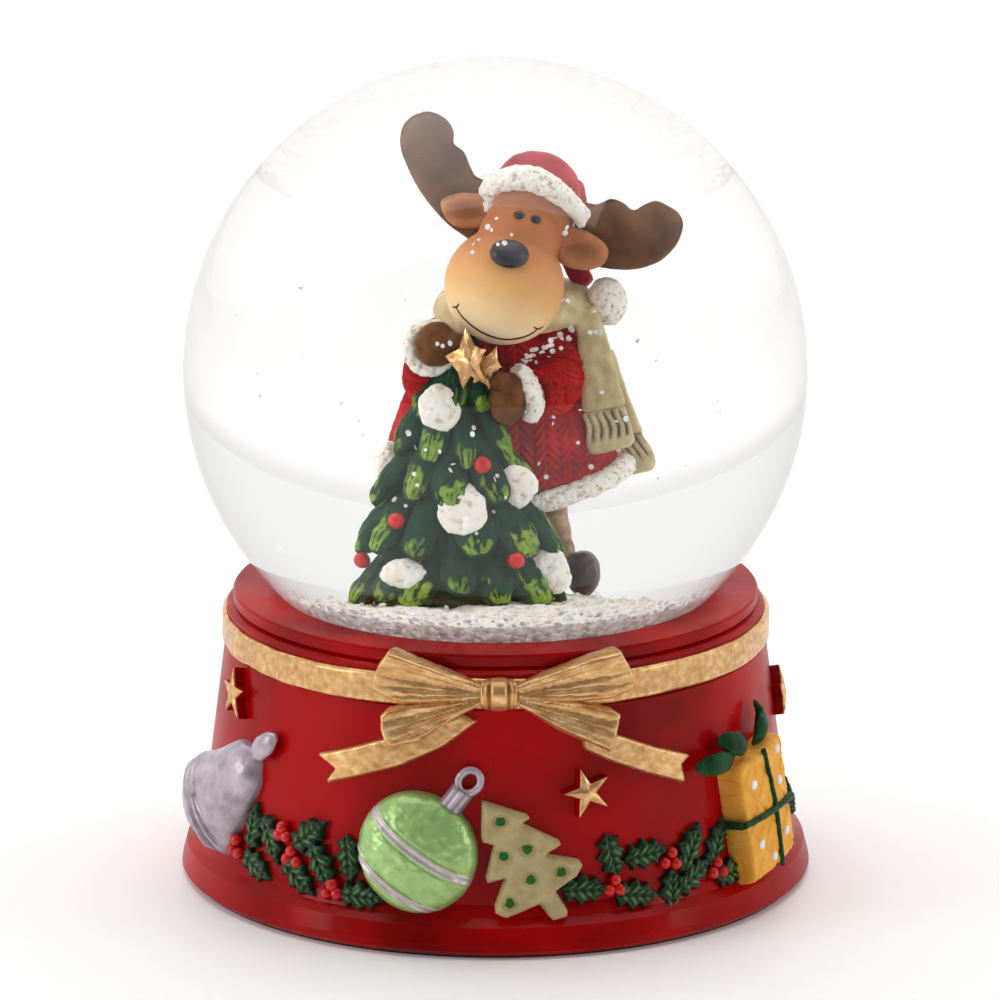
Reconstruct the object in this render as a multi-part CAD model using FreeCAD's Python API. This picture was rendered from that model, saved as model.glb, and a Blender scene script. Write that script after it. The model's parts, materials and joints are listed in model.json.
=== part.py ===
import FreeCAD, Part
import math
import os
from FreeCAD import Rotation, Vector

# Musical snow globe. Millimetres, +Z up, origin at the centre of the underside, front towards -Y.

# Glass ball and what closes it
GLASS_R = 50.0
GLASS_WALL = 2.4
GLASS_Z = 82.5
NECK_R = 33.0
NECK_WALL = 2.4
NECK_BOTTOM_Z = 40.6
PLUG_BOTTOM_Z = 37.8
SNOW_TOP_Z = 55.5
SNOW_EDGE_Z = 50.5

# Base shell
FOOT_R = 51.0
FOOT_TOP_Z = 5.0
RIM_Z = 0.4
PAD_INNER_R = 45.3
PAD_OUTER_R = 49.5
PAD_TOP_Z = 1.2
BODY_R = 47.6
BODY_Z = 8.0
BODY_SLOPE = 0.1294
BAND_LOW_Z = 38.6
BAND_HIGH_Z = 43.6
BAND_SEAT_R = 43.3
BAND_THICK = 0.7
PLATE_R = 42.0
PLATE_TOP_Z = 47.0
CEILING_Z = 35.2
CAVITY_TOP_R = 40.8
CAVITY_LOW_R = 42.9
COVER_R = 43.9
COVER_LOW_Z = 9.4
COVER_HIGH_Z = 11.6
BOSS_CIRCLE_R = 39.6
BOSS_R = 3.2
BOSS_TOP_Z = 24.0
BOSS_ANGLES = (30, 150, 270)

# Screws
SCREW_R = 1.1
SCREW_CLEAR_R = 1.5
SCREW_HEAD_R = 2.3
SCREW_HEAD_H = 1.4

# Musical movement
BED_HIGH_Z = 13.6
SHAFT_GAP = 0.05
ARBOR_R = 1.6
HOUSING_R = 12.5
HOUSING_WALL = 0.8
HOUSING_TOP_Z = 21.2
CROWN_MODULE = 0.6
CROWN_TEETH = 36
CYLINDER_PINION_TEETH = 12
CYLINDER_Z = 27.3
CYLINDER_R = 6.5
CYLINDER_X = (-29.6, -15.2)
PIN_HEIGHT = 0.35
PIN_R = 0.14
NOTES = 18
WHEEL_MODULE = 0.4
WHEEL_TEETH = 36
GOVERNOR_PINION_TEETH = 9
GOVERNOR_Y = -7.8
WORM_MODULE = 0.5
WORM_WHEEL_TEETH = 16
WORM_STARTS = 2
WORM_R = 1.5
WORM_X = -33.7
MOVEMENT_SCREWS = ((17.0, 0.0), (-27.0, 11.5), (-24.0, -15.5))

ADDENDUM = 0.9
DEDENDUM = 1.25

os.makedirs("parts", exist_ok=True)
nodes = {}


# ---------------------------------------------------------------- helpers

def revolve(profile):
    """Solid of revolution about Z from a closed outline of (radius, z) points."""
    points = [Vector(r, 0, z) for r, z in profile]
    face = Part.Face(Part.makePolygon(points + points[:1]))
    return face.revolve(Vector(0, 0, 0), Vector(0, 0, 1), 360)


def post(radius, low_z, high_z, x=0.0, y=0.0):
    return Part.makeCylinder(radius, high_z - low_z, Vector(x, y, low_z))


def rod_x(radius, low_x, high_x, y, z):
    return Part.makeCylinder(radius, high_x - low_x, Vector(low_x, y, z), Vector(1, 0, 0))


def block(low, high):
    size = [b - a for a, b in zip(low, high)]
    return Part.makeBox(size[0], size[1], size[2], Vector(*low))


def polyhedron(rings, low_tip, high_tip):
    """Solid with flat faces through rings of points, closed by a point at each end."""
    faces = []
    count = len(rings[0])
    for k in range(count):
        after = (k + 1) % count
        faces.append([low_tip, rings[0][after], rings[0][k]])
        faces.append([high_tip, rings[-1][k], rings[-1][after]])
        for lower, upper in zip(rings, rings[1:]):
            faces.append([lower[k], lower[after], upper[after], upper[k]])
    shell = Part.makeShell([Part.Face(Part.makePolygon(points + points[:1])) for points in faces])
    solid = Part.makeSolid(shell)
    if solid.Volume < 0:
        solid.reverse()
    return solid


def blob(centre, radii, tilt=0.0, sides=12):
    """Flat-faced ellipsoid with semi-axes along X, Y and Z, tilted about Y by tilt degrees."""
    turn = Rotation(Vector(0, 1, 0), tilt)
    middle = Vector(*centre)
    rings = []
    for latitude in (-50, -18, 18, 50):
        height = math.sin(math.radians(latitude))
        width = math.cos(math.radians(latitude))
        ring = []
        for k in range(sides):
            angle = 2 * math.pi * k / sides
            point = Vector(radii[0] * width * math.cos(angle), radii[1] * width * math.sin(angle), radii[2] * height)
            ring.append(middle + turn.multVec(point))
        rings.append(ring)
    tip = turn.multVec(Vector(0, 0, radii[2]))
    return polyhedron(rings, middle - tip, middle + tip)


def spire(centre, radii, height, sides=12, top_share=0.05):
    """Flat-faced cone or frustum, wide at its foot, with its own width in X and Y."""
    x, y, z = centre
    rings = []
    for share, level in ((1.0, 0.0), (top_share, height)):
        ring = []
        for k in range(sides):
            angle = 2 * math.pi * k / sides
            ring.append(Vector(x + share * radii[0] * math.cos(angle), y + share * radii[1] * math.sin(angle), z + level))
        rings.append(ring)
    return polyhedron(rings, Vector(x, y, z - 0.01), Vector(x, y, z + height + 0.01))


def fuse(shapes):
    whole = shapes[0]
    if len(shapes) > 1:
        whole = whole.multiFuse(shapes[1:])
    return whole.removeSplitter()


def limb(stations, sides=8):
    """Tapered flat-faced limb through (x, y, z, radius) stations."""
    pieces = []
    for (x0, y0, z0, r0), (x1, y1, z1, r1) in zip(stations, stations[1:]):
        start = Vector(x0, y0, z0)
        end = Vector(x1, y1, z1)
        way = (end - start).normalize()
        across = way.cross(Vector(0.3, 1, 0.1)).normalize()
        beside = way.cross(across)
        rings = []
        for place, radius in ((start, r0), (end, r1)):
            angles = [2 * math.pi * k / sides for k in range(sides)]
            rings.append([place + across * (radius * math.cos(a)) + beside * (radius * math.sin(a)) for a in angles])
        pieces.append(polyhedron(rings, start - way * (0.6 * r0), end + way * (0.6 * r1)))
    return fuse(pieces)


def slab(outline, y_middle, thickness):
    """Slab with an outline of (x, z) points, standing in the XZ plane."""
    points = [Vector(x, y_middle - thickness / 2, z) for x, z in outline]
    return Part.Face(Part.makePolygon(points + points[:1])).extrude(Vector(0, thickness, 0))


def star_points(outer_r, inner_r, turn=0.0):
    points = []
    for i in range(10):
        radius = outer_r if i % 2 == 0 else inner_r
        angle = math.radians(90 + turn + 36 * i)
        points.append((radius * math.cos(angle), radius * math.sin(angle)))
    return points


def body_radius(z):
    return BODY_R - BODY_SLOPE * (z - BODY_Z)


def base_frame(theta, z):
    """Placement on the base's side: local X along it, Y up it, Z outwards; theta is 0 at the front."""
    angle = math.radians(theta)
    outward = Vector(math.sin(angle), -math.cos(angle), BODY_SLOPE).normalize()
    along = Vector(math.cos(angle), math.sin(angle), 0)
    up = outward.cross(along)
    turn = Rotation(along, up, outward, "ZXY")
    radius = body_radius(z)
    return FreeCAD.Placement(Vector(radius * math.sin(angle), -radius * math.cos(angle), z), turn)


def relief(outline, theta, z, height, depth=3.0):
    """Straight-edged relief: outline of (across, up) points about a place on the base's side."""
    points = [Vector(u, v, -depth) for u, v in outline]
    shape = Part.Face(Part.makePolygon(points + points[:1])).extrude(Vector(0, 0, height + depth))
    shape.Placement = base_frame(theta, z)
    return shape


def relief_arc(outline, height, depth=3.0):
    """Relief from an outline of (arc length from the front, z), set about its own middle."""
    mid_s = (min(s for s, z in outline) + max(s for s, z in outline)) / 2
    mid_z = (min(z for s, z in outline) + max(z for s, z in outline)) / 2
    theta = math.degrees(mid_s / body_radius(mid_z))
    return relief([(s - mid_s, z - mid_z) for s, z in outline], theta, mid_z, height, depth)


def keep_solids(shape, smallest=0.02):
    """The solids of a cut, without the slivers that it leaves."""
    solids = [s for s in shape.Solids if s.Volume > smallest]
    return solids[0] if len(solids) == 1 else Part.makeCompound(solids)


def carve(shape, others):
    """The shape less whatever of the others it runs into."""
    near = [o for o in others if shape.BoundBox.intersect(o.BoundBox)]
    return keep_solids(shape.cut(near)) if near else shape


def screw(x, y, seat_z, top_z):
    """Pan-head screw pointing up, with a slot in its head."""
    head = post(SCREW_HEAD_R, seat_z - SCREW_HEAD_H, seat_z, x, y)
    shank = post(SCREW_R, seat_z, top_z, x, y)
    slot = block((x - 3, y - 0.3, seat_z - SCREW_HEAD_H - 1), (x + 3, y + 0.3, seat_z - SCREW_HEAD_H + 0.7))
    return head.fuse(shank).cut(slot).removeSplitter()


# ---------------------------------------------------------------- gears

def gear_wire(teeth, module, phase, x=0.0):
    """Gear outline in the plane X = x, centred on the X axis; phase 0 points a tooth down."""
    pitch = 2 * math.pi / teeth
    root_r = module * (teeth / 2 - DEDENDUM)
    tip_r = module * (teeth / 2 + ADDENDUM)
    points = []
    for i in range(teeth):
        middle = phase + i * pitch
        for radius, share in ((root_r, -0.25), (tip_r, -0.10), (tip_r, 0.10), (root_r, 0.25)):
            angle = middle + share * pitch
            points.append(Vector(x, radius * math.sin(angle), -radius * math.cos(angle)))
    return Part.makePolygon(points + points[:1])


def gear_x(teeth, module, phase, low_x, high_x, y, z, twist=0.0):
    """Gear on an axis along X, with its teeth turned by twist (radians) across its face."""
    low = gear_wire(teeth, module, phase - twist / 2, low_x)
    high = gear_wire(teeth, module, phase + twist / 2, high_x)
    gear = Part.makeLoft([low, high], True, True)
    gear.translate(Vector(0, y, z))
    return gear


def crown_gear():
    """Face gear on the key's arbor, with radial teeth standing up."""
    mean_r = CROWN_MODULE * CROWN_TEETH / 2
    pitch_z = CYLINDER_Z - CROWN_MODULE * CYLINDER_PINION_TEETH / 2
    root_z = pitch_z - CROWN_MODULE * DEDENDUM
    tip_z = pitch_z + CROWN_MODULE * ADDENDUM
    inner_r = mean_r - 1.2
    outer_r = mean_r + 1.2
    sections = []
    for radius in (inner_r, outer_r):
        pitch = 2 * math.pi * radius / CROWN_TEETH
        corners = ((-0.25, root_z - 0.2), (0.25, root_z - 0.2), (0.10, tip_z), (-0.10, tip_z))
        points = [Vector(-radius, share * pitch, z) for share, z in corners]
        sections.append(Part.makePolygon(points + points[:1]))
    tooth = Part.makeLoft(sections, True, True)
    teeth = []
    for i in range(CROWN_TEETH):
        copy = tooth.copy()
        copy.rotate(Vector(0, 0, 0), Vector(0, 0, 1), 360 * i / CROWN_TEETH)
        teeth.append(copy)
    disc = post(outer_r, HOUSING_TOP_Z + 0.5, root_z)
    return disc.multiFuse(teeth).cut(post(ARBOR_R, 0, 40)).removeSplitter()


def worm_thread(start_angle, low_z, turns):
    """One start of the governor's right-handed worm, as a ridge along a helix."""
    lead = WORM_STARTS * math.pi * WORM_MODULE
    pitch = math.pi * WORM_MODULE
    root_r = WORM_R - WORM_MODULE * DEDENDUM + 0.15
    helix = Part.makeHelix(lead, lead * turns, root_r)
    outline = [(root_r - 0.15, -0.26), (WORM_R + 0.42, -0.09), (WORM_R + 0.42, 0.09), (root_r - 0.15, 0.26)]
    points = [Vector(r, 0, share * pitch) for r, share in outline]
    section = Part.makePolygon(points + points[:1])
    ridge = Part.Wire(helix.Edges).makePipeShell([section], True, True)
    ridge.rotate(Vector(0, 0, 0), Vector(0, 0, 1), start_angle)
    ridge.translate(Vector(0, 0, low_z))
    return ridge


# ---------------------------------------------------------------- ball, plug and snow

def inner_ball():
    return Part.makeSphere(GLASS_R - GLASS_WALL, Vector(0, 0, GLASS_Z))


def glass_globe():
    neck_inner_r = NECK_R - NECK_WALL
    neck = post(NECK_R, NECK_BOTTOM_Z, GLASS_Z - 20)
    whole = Part.makeSphere(GLASS_R, Vector(0, 0, GLASS_Z)).fuse(neck)
    below = post(GLASS_R, NECK_BOTTOM_Z - 20, NECK_BOTTOM_Z)
    return whole.cut([inner_ball(), post(neck_inner_r, NECK_BOTTOM_Z - 1, GLASS_Z - 20), below]).removeSplitter()


def plug_top_z():
    inner_r = GLASS_R - GLASS_WALL
    return GLASS_Z - math.sqrt(inner_r ** 2 - (NECK_R - NECK_WALL) ** 2)


def rubber_plug():
    flange = post(NECK_R, PLUG_BOTTOM_Z, NECK_BOTTOM_Z)
    body = post(NECK_R - NECK_WALL, NECK_BOTTOM_Z, plug_top_z())
    return flange.fuse(body).removeSplitter()


def snow_mound():
    """Low dome that meets the inside of the glass at its edge and the plug below."""
    edge_r = math.sqrt((GLASS_R - GLASS_WALL) ** 2 - (GLASS_Z - SNOW_EDGE_Z) ** 2)
    rise = SNOW_TOP_Z - SNOW_EDGE_Z
    dome_r = (edge_r ** 2 + rise ** 2) / (2 * rise)
    dome = Part.makeSphere(dome_r, Vector(0, 0, SNOW_TOP_Z - dome_r))
    return inner_ball().common(dome).cut(post(GLASS_R, 0, plug_top_z()))


def snow_flakes():
    """Loose six-sided flakes, sunk to just above the mound."""
    flakes = []
    for i in range(40):
        angle = math.radians(137.5 * i)
        radius = 14 + 17 * math.sqrt((i + 0.5) / 40)
        z = SNOW_TOP_Z + 0.9 + 0.7 * (i % 3) - 5.0 * (radius / 35) ** 2
        corners = [(0.55 * math.cos(math.radians(60 * k)), 0.55 * math.sin(math.radians(60 * k))) for k in range(6)]
        points = [Vector(u, v, 0) for u, v in corners]
        flake = Part.Face(Part.makePolygon(points + points[:1])).extrude(Vector(0, 0, 0.12))
        tilt = Rotation(Vector(math.cos(angle), 1, 0), 20 * (i % 4))
        flake.Placement = FreeCAD.Placement(Vector(radius * math.cos(angle), radius * math.sin(angle), z), tilt)
        flakes.append(flake)
    return Part.makeCompound(flakes)


# ---------------------------------------------------------------- figure

def antler(outline):
    return slab(outline, 1.0, 3.4)


def moose_head():
    skull = blob((3.6, 1.0, 102.6), (7.0, 6.6, 6.8), 14)
    muzzle = blob((1.1, -5.4, 95.0), (7.6, 7.6, 7.4))
    bridge = blob((2.4, -4.5, 99.0), (5.0, 6.0, 6.0), 14)
    return fuse([skull, muzzle, bridge])


def hat():
    dome = blob((5.4, 0.8, 105.6), (6.6, 7.0, 5.4), 14)
    tail = limb([(9.0, 4.0, 104.5, 2.6), (12.6, 5.0, 99.0, 2.3), (13.0, 4.6, 92.0, 1.6)])
    return fuse([dome, tail])


def hat_band():
    return blob((4.6, -0.2, 106.0), (7.5, 7.5, 1.9), 14)


def coat():
    body = spire((0.8, 2.5, 67.0), (14.2, 9.4), 24.0, top_share=0.5)
    left = limb([(-6.0, 0.5, 85.5, 3.4), (-10.6, -3.5, 80.5, 3.3), (-10.4, -7.4, 84.6, 3.0)])
    right = limb([(7.5, 0.5, 85.5, 3.4), (9.8, -4.5, 79.6, 3.3), (5.6, -7.8, 80.6, 3.0)])
    return fuse([body, left, right])


def coat_trim():
    """Fur hem and the two fur cuffs."""
    hem = spire((0.8, 2.5, 65.6), (15.6, 10.8), 3.8, top_share=0.94)
    left = blob((-10.0, -9.0, 87.4), (3.6, 2.4, 3.2), -30)
    right = blob((3.8, -9.0, 81.0), (2.2, 2.8, 3.8), 20)
    return [hem, left, right]


def scarf():
    wrap = blob((1.8, 1.2, 89.6), (9.0, 9.0, 3.2))
    front = Part.makeBox(4.6, 2.0, 16.5, Vector(10.6, -1.2, 72.4))
    back = Part.makeBox(4.0, 1.8, 15.0, Vector(12.6, 3.2, 70.0))
    back.rotate(Vector(14.6, 4.0, 85.0), Vector(0, 1, 0), -8)
    knot = blob((11.0, 1.0, 88.3), (2.8, 2.8, 2.8))
    return fuse([wrap, front, back, knot])


def tree():
    """Four overlapping tiers, flattened front to back."""
    tiers = ((53.0, 14.0, 15.0), (60.5, 11.6, 13.0), (68.0, 8.6, 11.0), (75.0, 5.8, 10.5))
    return fuse([spire((-4.3, -8.6, z), (radius, 0.66 * radius), height) for z, radius, height in tiers])


def tree_snow():
    """Clumps of snow lying on the tips of the branches."""
    places = ((-7.2, -11.6, 80.4), (-4.2, -15.0, 67.2), (2.4, -14.0, 70.2), (-11.5, -15.2, 58.6), (6.8, -13.6, 58.8))
    return [blob(place, (2.4, 1.6, 1.3), 20, 8) for place in places]


def tree_baubles():
    places = ((-1.8, -12.6, 73.2), (-13.1, -13.4, 65.8), (2.8, -17.0, 60.7), (-16.6, -11.0, 61.8))
    return [blob(place, (1.3, 1.3, 1.3), 0, 8) for place in places]


def star_topper():
    points = [Vector(x, 0, z) for x, z in star_points(4.3, 2.0, 8)]
    star = Part.Face(Part.makePolygon(points + points[:1])).extrude(Vector(0, 2.4, 0))
    star.translate(Vector(-3.4, -13.4, 87.2))
    return star


def add_figure():
    """Paint regions of the one cast figure, each carved clear of those before it."""
    left_antler = [(-3.2, 99.1), (-6.0, 101.2), (-9.2, 105.0), (-11.3, 109.1), (-12.3, 112.3), (-12.0, 115.5),
                   (-10.2, 117.0), (-8.3, 117.0), (-6.4, 115.7), (-5.3, 112.4), (-3.7, 109.9), (-1.3, 106.4)]
    right_antler = [(10.7, 103.1), (12.7, 103.4), (15.8, 103.7), (17.4, 102.8), (19.0, 103.4), (21.3, 103.7),
                    (23.1, 102.8), (23.5, 100.9), (22.5, 98.2), (20.4, 96.1), (17.7, 95.0), (15.1, 94.9),
                    (12.5, 95.1), (9.5, 98.0)]
    hem, left_cuff, right_cuff = coat_trim()
    legs = [limb([(7.2, 2.0, 68.0, 1.8), (9.0, 2.0, 58.0, 1.6)]), limb([(-4.0, 2.5, 68.0, 1.8), (-5.0, 2.0, 58.0, 1.6)])]
    boots = [blob((10.0, 0.6, 57.6), (2.4, 3.6, 2.8)), blob((-5.4, 0.6, 57.6), (2.4, 3.6, 2.8))]
    mittens = [blob((-7.4, -11.6, 88.7), (2.8, 2.4, 2.7)), blob((1.8, -10.4, 81.5), (2.2, 2.4, 3.4), 15)]
    ears = [blob((-3.9, -0.6, 103.4), (3.6, 1.5, 2.0), 10), blob((11.2, -0.6, 98.9), (3.2, 1.5, 2.3), 20)]
    parts = [
        ("tree", [tree()]),
        ("star_topper", [star_topper()]),
        ("mittens", mittens),
        ("moose_head", [moose_head()]),
        ("hat_band", [hat_band()]),
        ("hat", [hat()]),
        ("hat_pompom", [blob((13.5, 0.0, 90.9), (2.7, 2.6, 3.2))]),
        ("moose_ears", ears),
        ("antler_left", [antler(left_antler)]),
        ("antler_right", [antler(right_antler)]),
        ("scarf", [scarf()]),
        ("coat_trim", [hem, left_cuff, right_cuff]),
        ("coat", [coat()]),
        ("boots", boots),
        ("moose_legs", legs),
        ("tree_baubles", tree_baubles()),
        ("tree_snow", tree_snow()),
    ]
    done = [nodes["snow_mound"]]
    for name, solids in parts:
        carved = [carve(solid, done) for solid in solids]
        nodes[name] = Part.makeCompound([s for shape in carved for s in shape.Solids])
        done.append(nodes[name])
    return [nodes[name] for name, solids in parts]


# ---------------------------------------------------------------- base

def outer_profile():
    band_low_r = body_radius(BAND_LOW_Z - 0.2)
    return [
        (49.9, RIM_Z), (FOOT_R, RIM_Z + 0.9), (FOOT_R - 0.2, 2.4), (50.1, FOOT_TOP_Z), (48.6, FOOT_TOP_Z + 1.2),
        (48.1, FOOT_TOP_Z + 2.2), (BODY_R, BODY_Z), (band_low_r, BAND_LOW_Z - 0.2), (BAND_SEAT_R, BAND_LOW_Z),
        (BAND_SEAT_R, 44.2), (42.7, 44.6), (41.9, 44.8), (PLATE_R + 0.3, 45.2), (PLATE_R + 0.3, PLATE_TOP_Z - 0.4),
        (PLATE_R, PLATE_TOP_Z),
    ]


def base_core():
    """The base's outside as one full solid, which the relief pieces are cut back to."""
    return revolve([(0, RIM_Z)] + outer_profile() + [(0, PLATE_TOP_Z)])


def boss_places():
    for angle in BOSS_ANGLES:
        yield BOSS_CIRCLE_R * math.cos(math.radians(angle)), BOSS_CIRCLE_R * math.sin(math.radians(angle))


def base_shell():
    """Hollow casting: cup for the ball's neck on top, open below for the movement."""
    inside = [
        (0, PLATE_TOP_Z), (0, CEILING_Z), (CAVITY_TOP_R, CEILING_Z), (CAVITY_LOW_R, COVER_HIGH_Z),
        (COVER_R, COVER_HIGH_Z), (COVER_R, RIM_Z), (PAD_INNER_R, RIM_Z), (PAD_INNER_R, PAD_TOP_Z),
        (PAD_OUTER_R, PAD_TOP_Z), (PAD_OUTER_R, RIM_Z),
    ]
    shell = revolve(outer_profile() + inside)
    bosses = [post(BOSS_R, COVER_HIGH_Z, BOSS_TOP_Z, x, y) for x, y in boss_places()]
    pilots = [post(SCREW_R, COVER_HIGH_Z, COVER_HIGH_Z + 9, x, y) for x, y in boss_places()]
    cup = post(NECK_R, PLUG_BOTTOM_Z, PLATE_TOP_Z + 1)
    ball = Part.makeSphere(GLASS_R, Vector(0, 0, GLASS_Z))
    return shell.multiFuse(bosses).cut(pilots + [cup, ball]).removeSplitter()


def ribbon_band():
    return revolve([
        (BAND_SEAT_R, BAND_LOW_Z), (BAND_SEAT_R + BAND_THICK, BAND_LOW_Z + 0.1),
        (BAND_SEAT_R + BAND_THICK - 0.1, BAND_HIGH_Z - 0.1), (BAND_SEAT_R, BAND_HIGH_Z),
    ])


def bow():
    """Two loops a side, two tails and the knot, as (arc length, z) outlines."""
    left_upper = [(-1.5, 42.7), (-8.1, 45.2), (-16.3, 47.6), (-18.4, 44.5), (-19.0, 40.9), (-16.3, 39.6), (-8.1, 39.6),
                  (-1.9, 40.8)]
    left_lower = [(-1.2, 40.6), (-13.9, 39.2), (-17.9, 37.1), (-17.8, 34.5), (-16.6, 31.9), (-11.5, 33.1), (-6.5, 37.0)]
    left_tail = [(-2.2, 39.0), (-12.0, 34.0), (-17.8, 33.2), (-29.7, 29.2), (-26.2, 27.4), (-28.0, 24.8), (-14.9, 29.2),
                 (-8.1, 32.7)]
    right_upper = [(3.2, 42.0), (7.7, 44.6), (14.8, 46.8), (19.2, 47.6), (21.6, 42.6), (20.7, 40.4), (11.2, 39.5),
                   (3.2, 40.3)]
    right_lower = [(3.0, 40.2), (14.0, 39.2), (19.5, 37.1), (18.8, 33.5), (17.6, 31.0), (9.5, 35.3)]
    right_tail = [(3.0, 39.0), (12.0, 34.4), (19.1, 33.8), (33.0, 28.4), (31.1, 27.2), (31.8, 24.1), (18.4, 29.5),
                  (14.0, 31.8)]
    pieces = [relief_arc(outline, 1.3) for outline in (left_tail, right_tail)]
    pieces += [relief_arc(outline, 2.6, 4.0) for outline in (left_upper, left_lower, right_upper, right_lower)]
    pieces.append(relief([(-2.8, -2.6), (2.8, -2.6), (2.8, 2.6), (-2.8, 2.6)], 0.6, 41.2, 3.6, 4.0))
    return fuse(pieces)


STARS = ((17.8, 25.2, 17), (-66.0, 33.8, 0), (89.0, 29.0, -10), (-116.0, 33.0, 12), (140.0, 31.0, 5), (-142.0, 28.5, -6),
         (180.0, 30.0, 0))
STAR_RISE = 2.0
LEAVES = ((-54, 14.7, 80), (-48, 13.7, -65), (-38, 16.2, 40), (-52, 8.6, -20), (-40, 9.0, -35), (-34.6, 11.7, -60),
          (-29, 13.4, -85), (-25.6, 8.0, 0), (16.8, 10.0, -5), (22.6, 14.5, -75), (29.8, 14.3, 5), (27, 8.2, -10),
          (35, 8.0, 90), (40.3, 9.4, 30), (39.8, 13.9, 60), (47.3, 13.3, 65), (50.5, 8.0, 0), (100, 9, 20),
          (112, 12, -30), (124, 8.5, 35), (150, 9, -20), (163, 12.5, 30), (176, 8.5, -35), (-100, 9, 25),
          (-112, 13, -30), (-124, 8.5, 20), (-150, 9.5, -25), (-163, 12, 40))
BERRIES = ((-59, 10.2), (-42, 12.0), (-32, 8.2), (-45, 15.4), (22.6, 10.0), (35, 12.6), (46.5, 9.2), (106, 10), (157, 10.5),
           (-106, 10.5), (-157, 10))


def base_stars():
    return fuse([relief(star_points(3.9, 1.7, turn), theta, z, STAR_RISE) for theta, z, turn in STARS])


def holly_leaves():
    """Pointed leaves with three hollows a side between their spines."""
    leaf = [(-4.2, 0.0), (-3.0, 1.4), (-1.5, 1.0), (-0.2, 2.0), (1.2, 1.2), (2.6, 1.5), (4.4, 0.0)]
    leaf += [(u, -v) for u, v in reversed(leaf[1:-1])]
    leaves = []
    for theta, z, turn in LEAVES:
        cosine = math.cos(math.radians(turn))
        sine = math.sin(math.radians(turn))
        outline = [(u * cosine - v * sine, u * sine + v * cosine) for u, v in leaf]
        leaves.append(relief(outline, theta, z, 0.9))
    return fuse(leaves)


def holly_berries():
    """Clusters of three, standing on the leaves."""
    berries = []
    for theta, z in BERRIES:
        for turn in (90, 210, 330):
            place = base_frame(theta, z)
            offset = Vector(1.15 * math.cos(math.radians(turn)), 1.15 * math.sin(math.radians(turn)), 0.9)
            berries.append(blob(place.multVec(offset), (1.15, 1.15, 1.15), 0, 8))
    return fuse(berries)


def place_on_base(shape, theta, z, turn=0.0):
    spin = FreeCAD.Placement(Vector(0, 0, 0), Rotation(Vector(0, 0, 1), turn))
    shape.Placement = base_frame(theta, z).multiply(spin).multiply(shape.Placement)
    return shape


ORNAMENT = (-15.1, 15.9, -35.6)
BACK_ORNAMENT = (136.0, 16.5, 25.0)


def ornament_ball():
    """Balls that stand out of the base's side as a low cap."""
    radius = 9.6
    rise = 4.2
    sphere_r = (radius ** 2 + rise ** 2) / (2 * rise)
    balls = []
    for theta, z, turn in (ORNAMENT, BACK_ORNAMENT):
        ball = Part.makeSphere(sphere_r, Vector(0, 0, rise - sphere_r))
        balls.append(place_on_base(ball, theta, z, turn))
    return Part.makeCompound(balls)


def ornament_cap():
    """Crimped cap and wire loop at the ornament's top."""
    caps = []
    for theta, z, turn in (ORNAMENT, BACK_ORNAMENT):
        cap = Part.makeBox(4.4, 2.6, 5.0, Vector(-2.2, 8.9, -2.4))
        loop = Part.makeTorus(1.4, 0.45, Vector(0, 12.9, 0.9))
        caps.append(place_on_base(cap.fuse(loop), theta, z, turn))
    return Part.makeCompound(caps)


def cookie_tree():
    outline = [(-2.2, 24.5), (4.9, 22.2), (4.2, 21.0), (9.8, 18.0), (9.5, 16.9), (7.9, 16.1), (13.0, 14.7), (13.5, 13.8),
               (12.6, 12.2), (9.3, 9.9), (11.2, 6.7), (8.6, 5.8), (6.7, 8.2), (1.3, 6.3), (-0.1, 8.1), (1.5, 12.4),
               (-1.4, 11.7), (-0.2, 17.7), (-2.1, 18.0)]
    return relief_arc(outline, 2.4)


GIFT = (59.5, 15.4, 6.0)
BACK_GIFT = (-128.0, 15.5, -6.0)


def gift_box():
    boxes = []
    for theta, z, turn in (GIFT, BACK_GIFT):
        box = Part.makeBox(13.6, 19.6, 6.8, Vector(-6.8, -8.6, -3.0))
        box = box.makeFillet(0.8, box.Edges)
        boxes.append(place_on_base(box, theta, z, turn))
    return Part.makeCompound(boxes)


def gift_ribbon():
    """Cross of ribbon round each gift, and its leaf-shaped bow."""
    ribbons = []
    for theta, z, turn in (GIFT, BACK_GIFT):
        upright = Part.makeBox(2.4, 20.2, 7.4, Vector(-1.2, -8.9, -3.0))
        across = Part.makeBox(14.2, 2.4, 7.4, Vector(-7.1, -0.4, -3.0))
        bows = []
        for side in (-1, 1):
            loop = blob((4.0 * side, 0, 0), (4.2, 1.5, 1.8))
            loop.rotate(Vector(0, 0, 0), Vector(0, 0, 1), 15 * side)
            loop.translate(Vector(0, 11.6, 1.4))
            bows.append(loop)
        ribbons.append(place_on_base(fuse([upright, across] + bows), theta, z, turn))
    return Part.makeCompound(ribbons)


BELL = (-64.0, 19.3, -50.0)
BELL_SINK = 1.7


def bell():
    """Bell with a flared mouth, lying on its side and a little sunk, with its hanger knob."""
    profile = [(0, 10.6), (2.0, 10.0), (3.1, 8.2), (3.7, 5.0), (5.2, 0.0), (8.2, -5.4), (8.6, -6.6), (0, -6.6)]
    knob = post(2.8, -0.9, 0.9)
    knob.rotate(Vector(0, 0, 0), Vector(1, 0, 0), 90)
    knob.translate(Vector(0, 0, 12.9))
    whole = fuse([revolve(profile), knob])
    whole.rotate(Vector(0, 0, 0), Vector(1, 0, 0), -90)
    whole.translate(Vector(0, 0, -BELL_SINK))
    return place_on_base(whole, *BELL)


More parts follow.
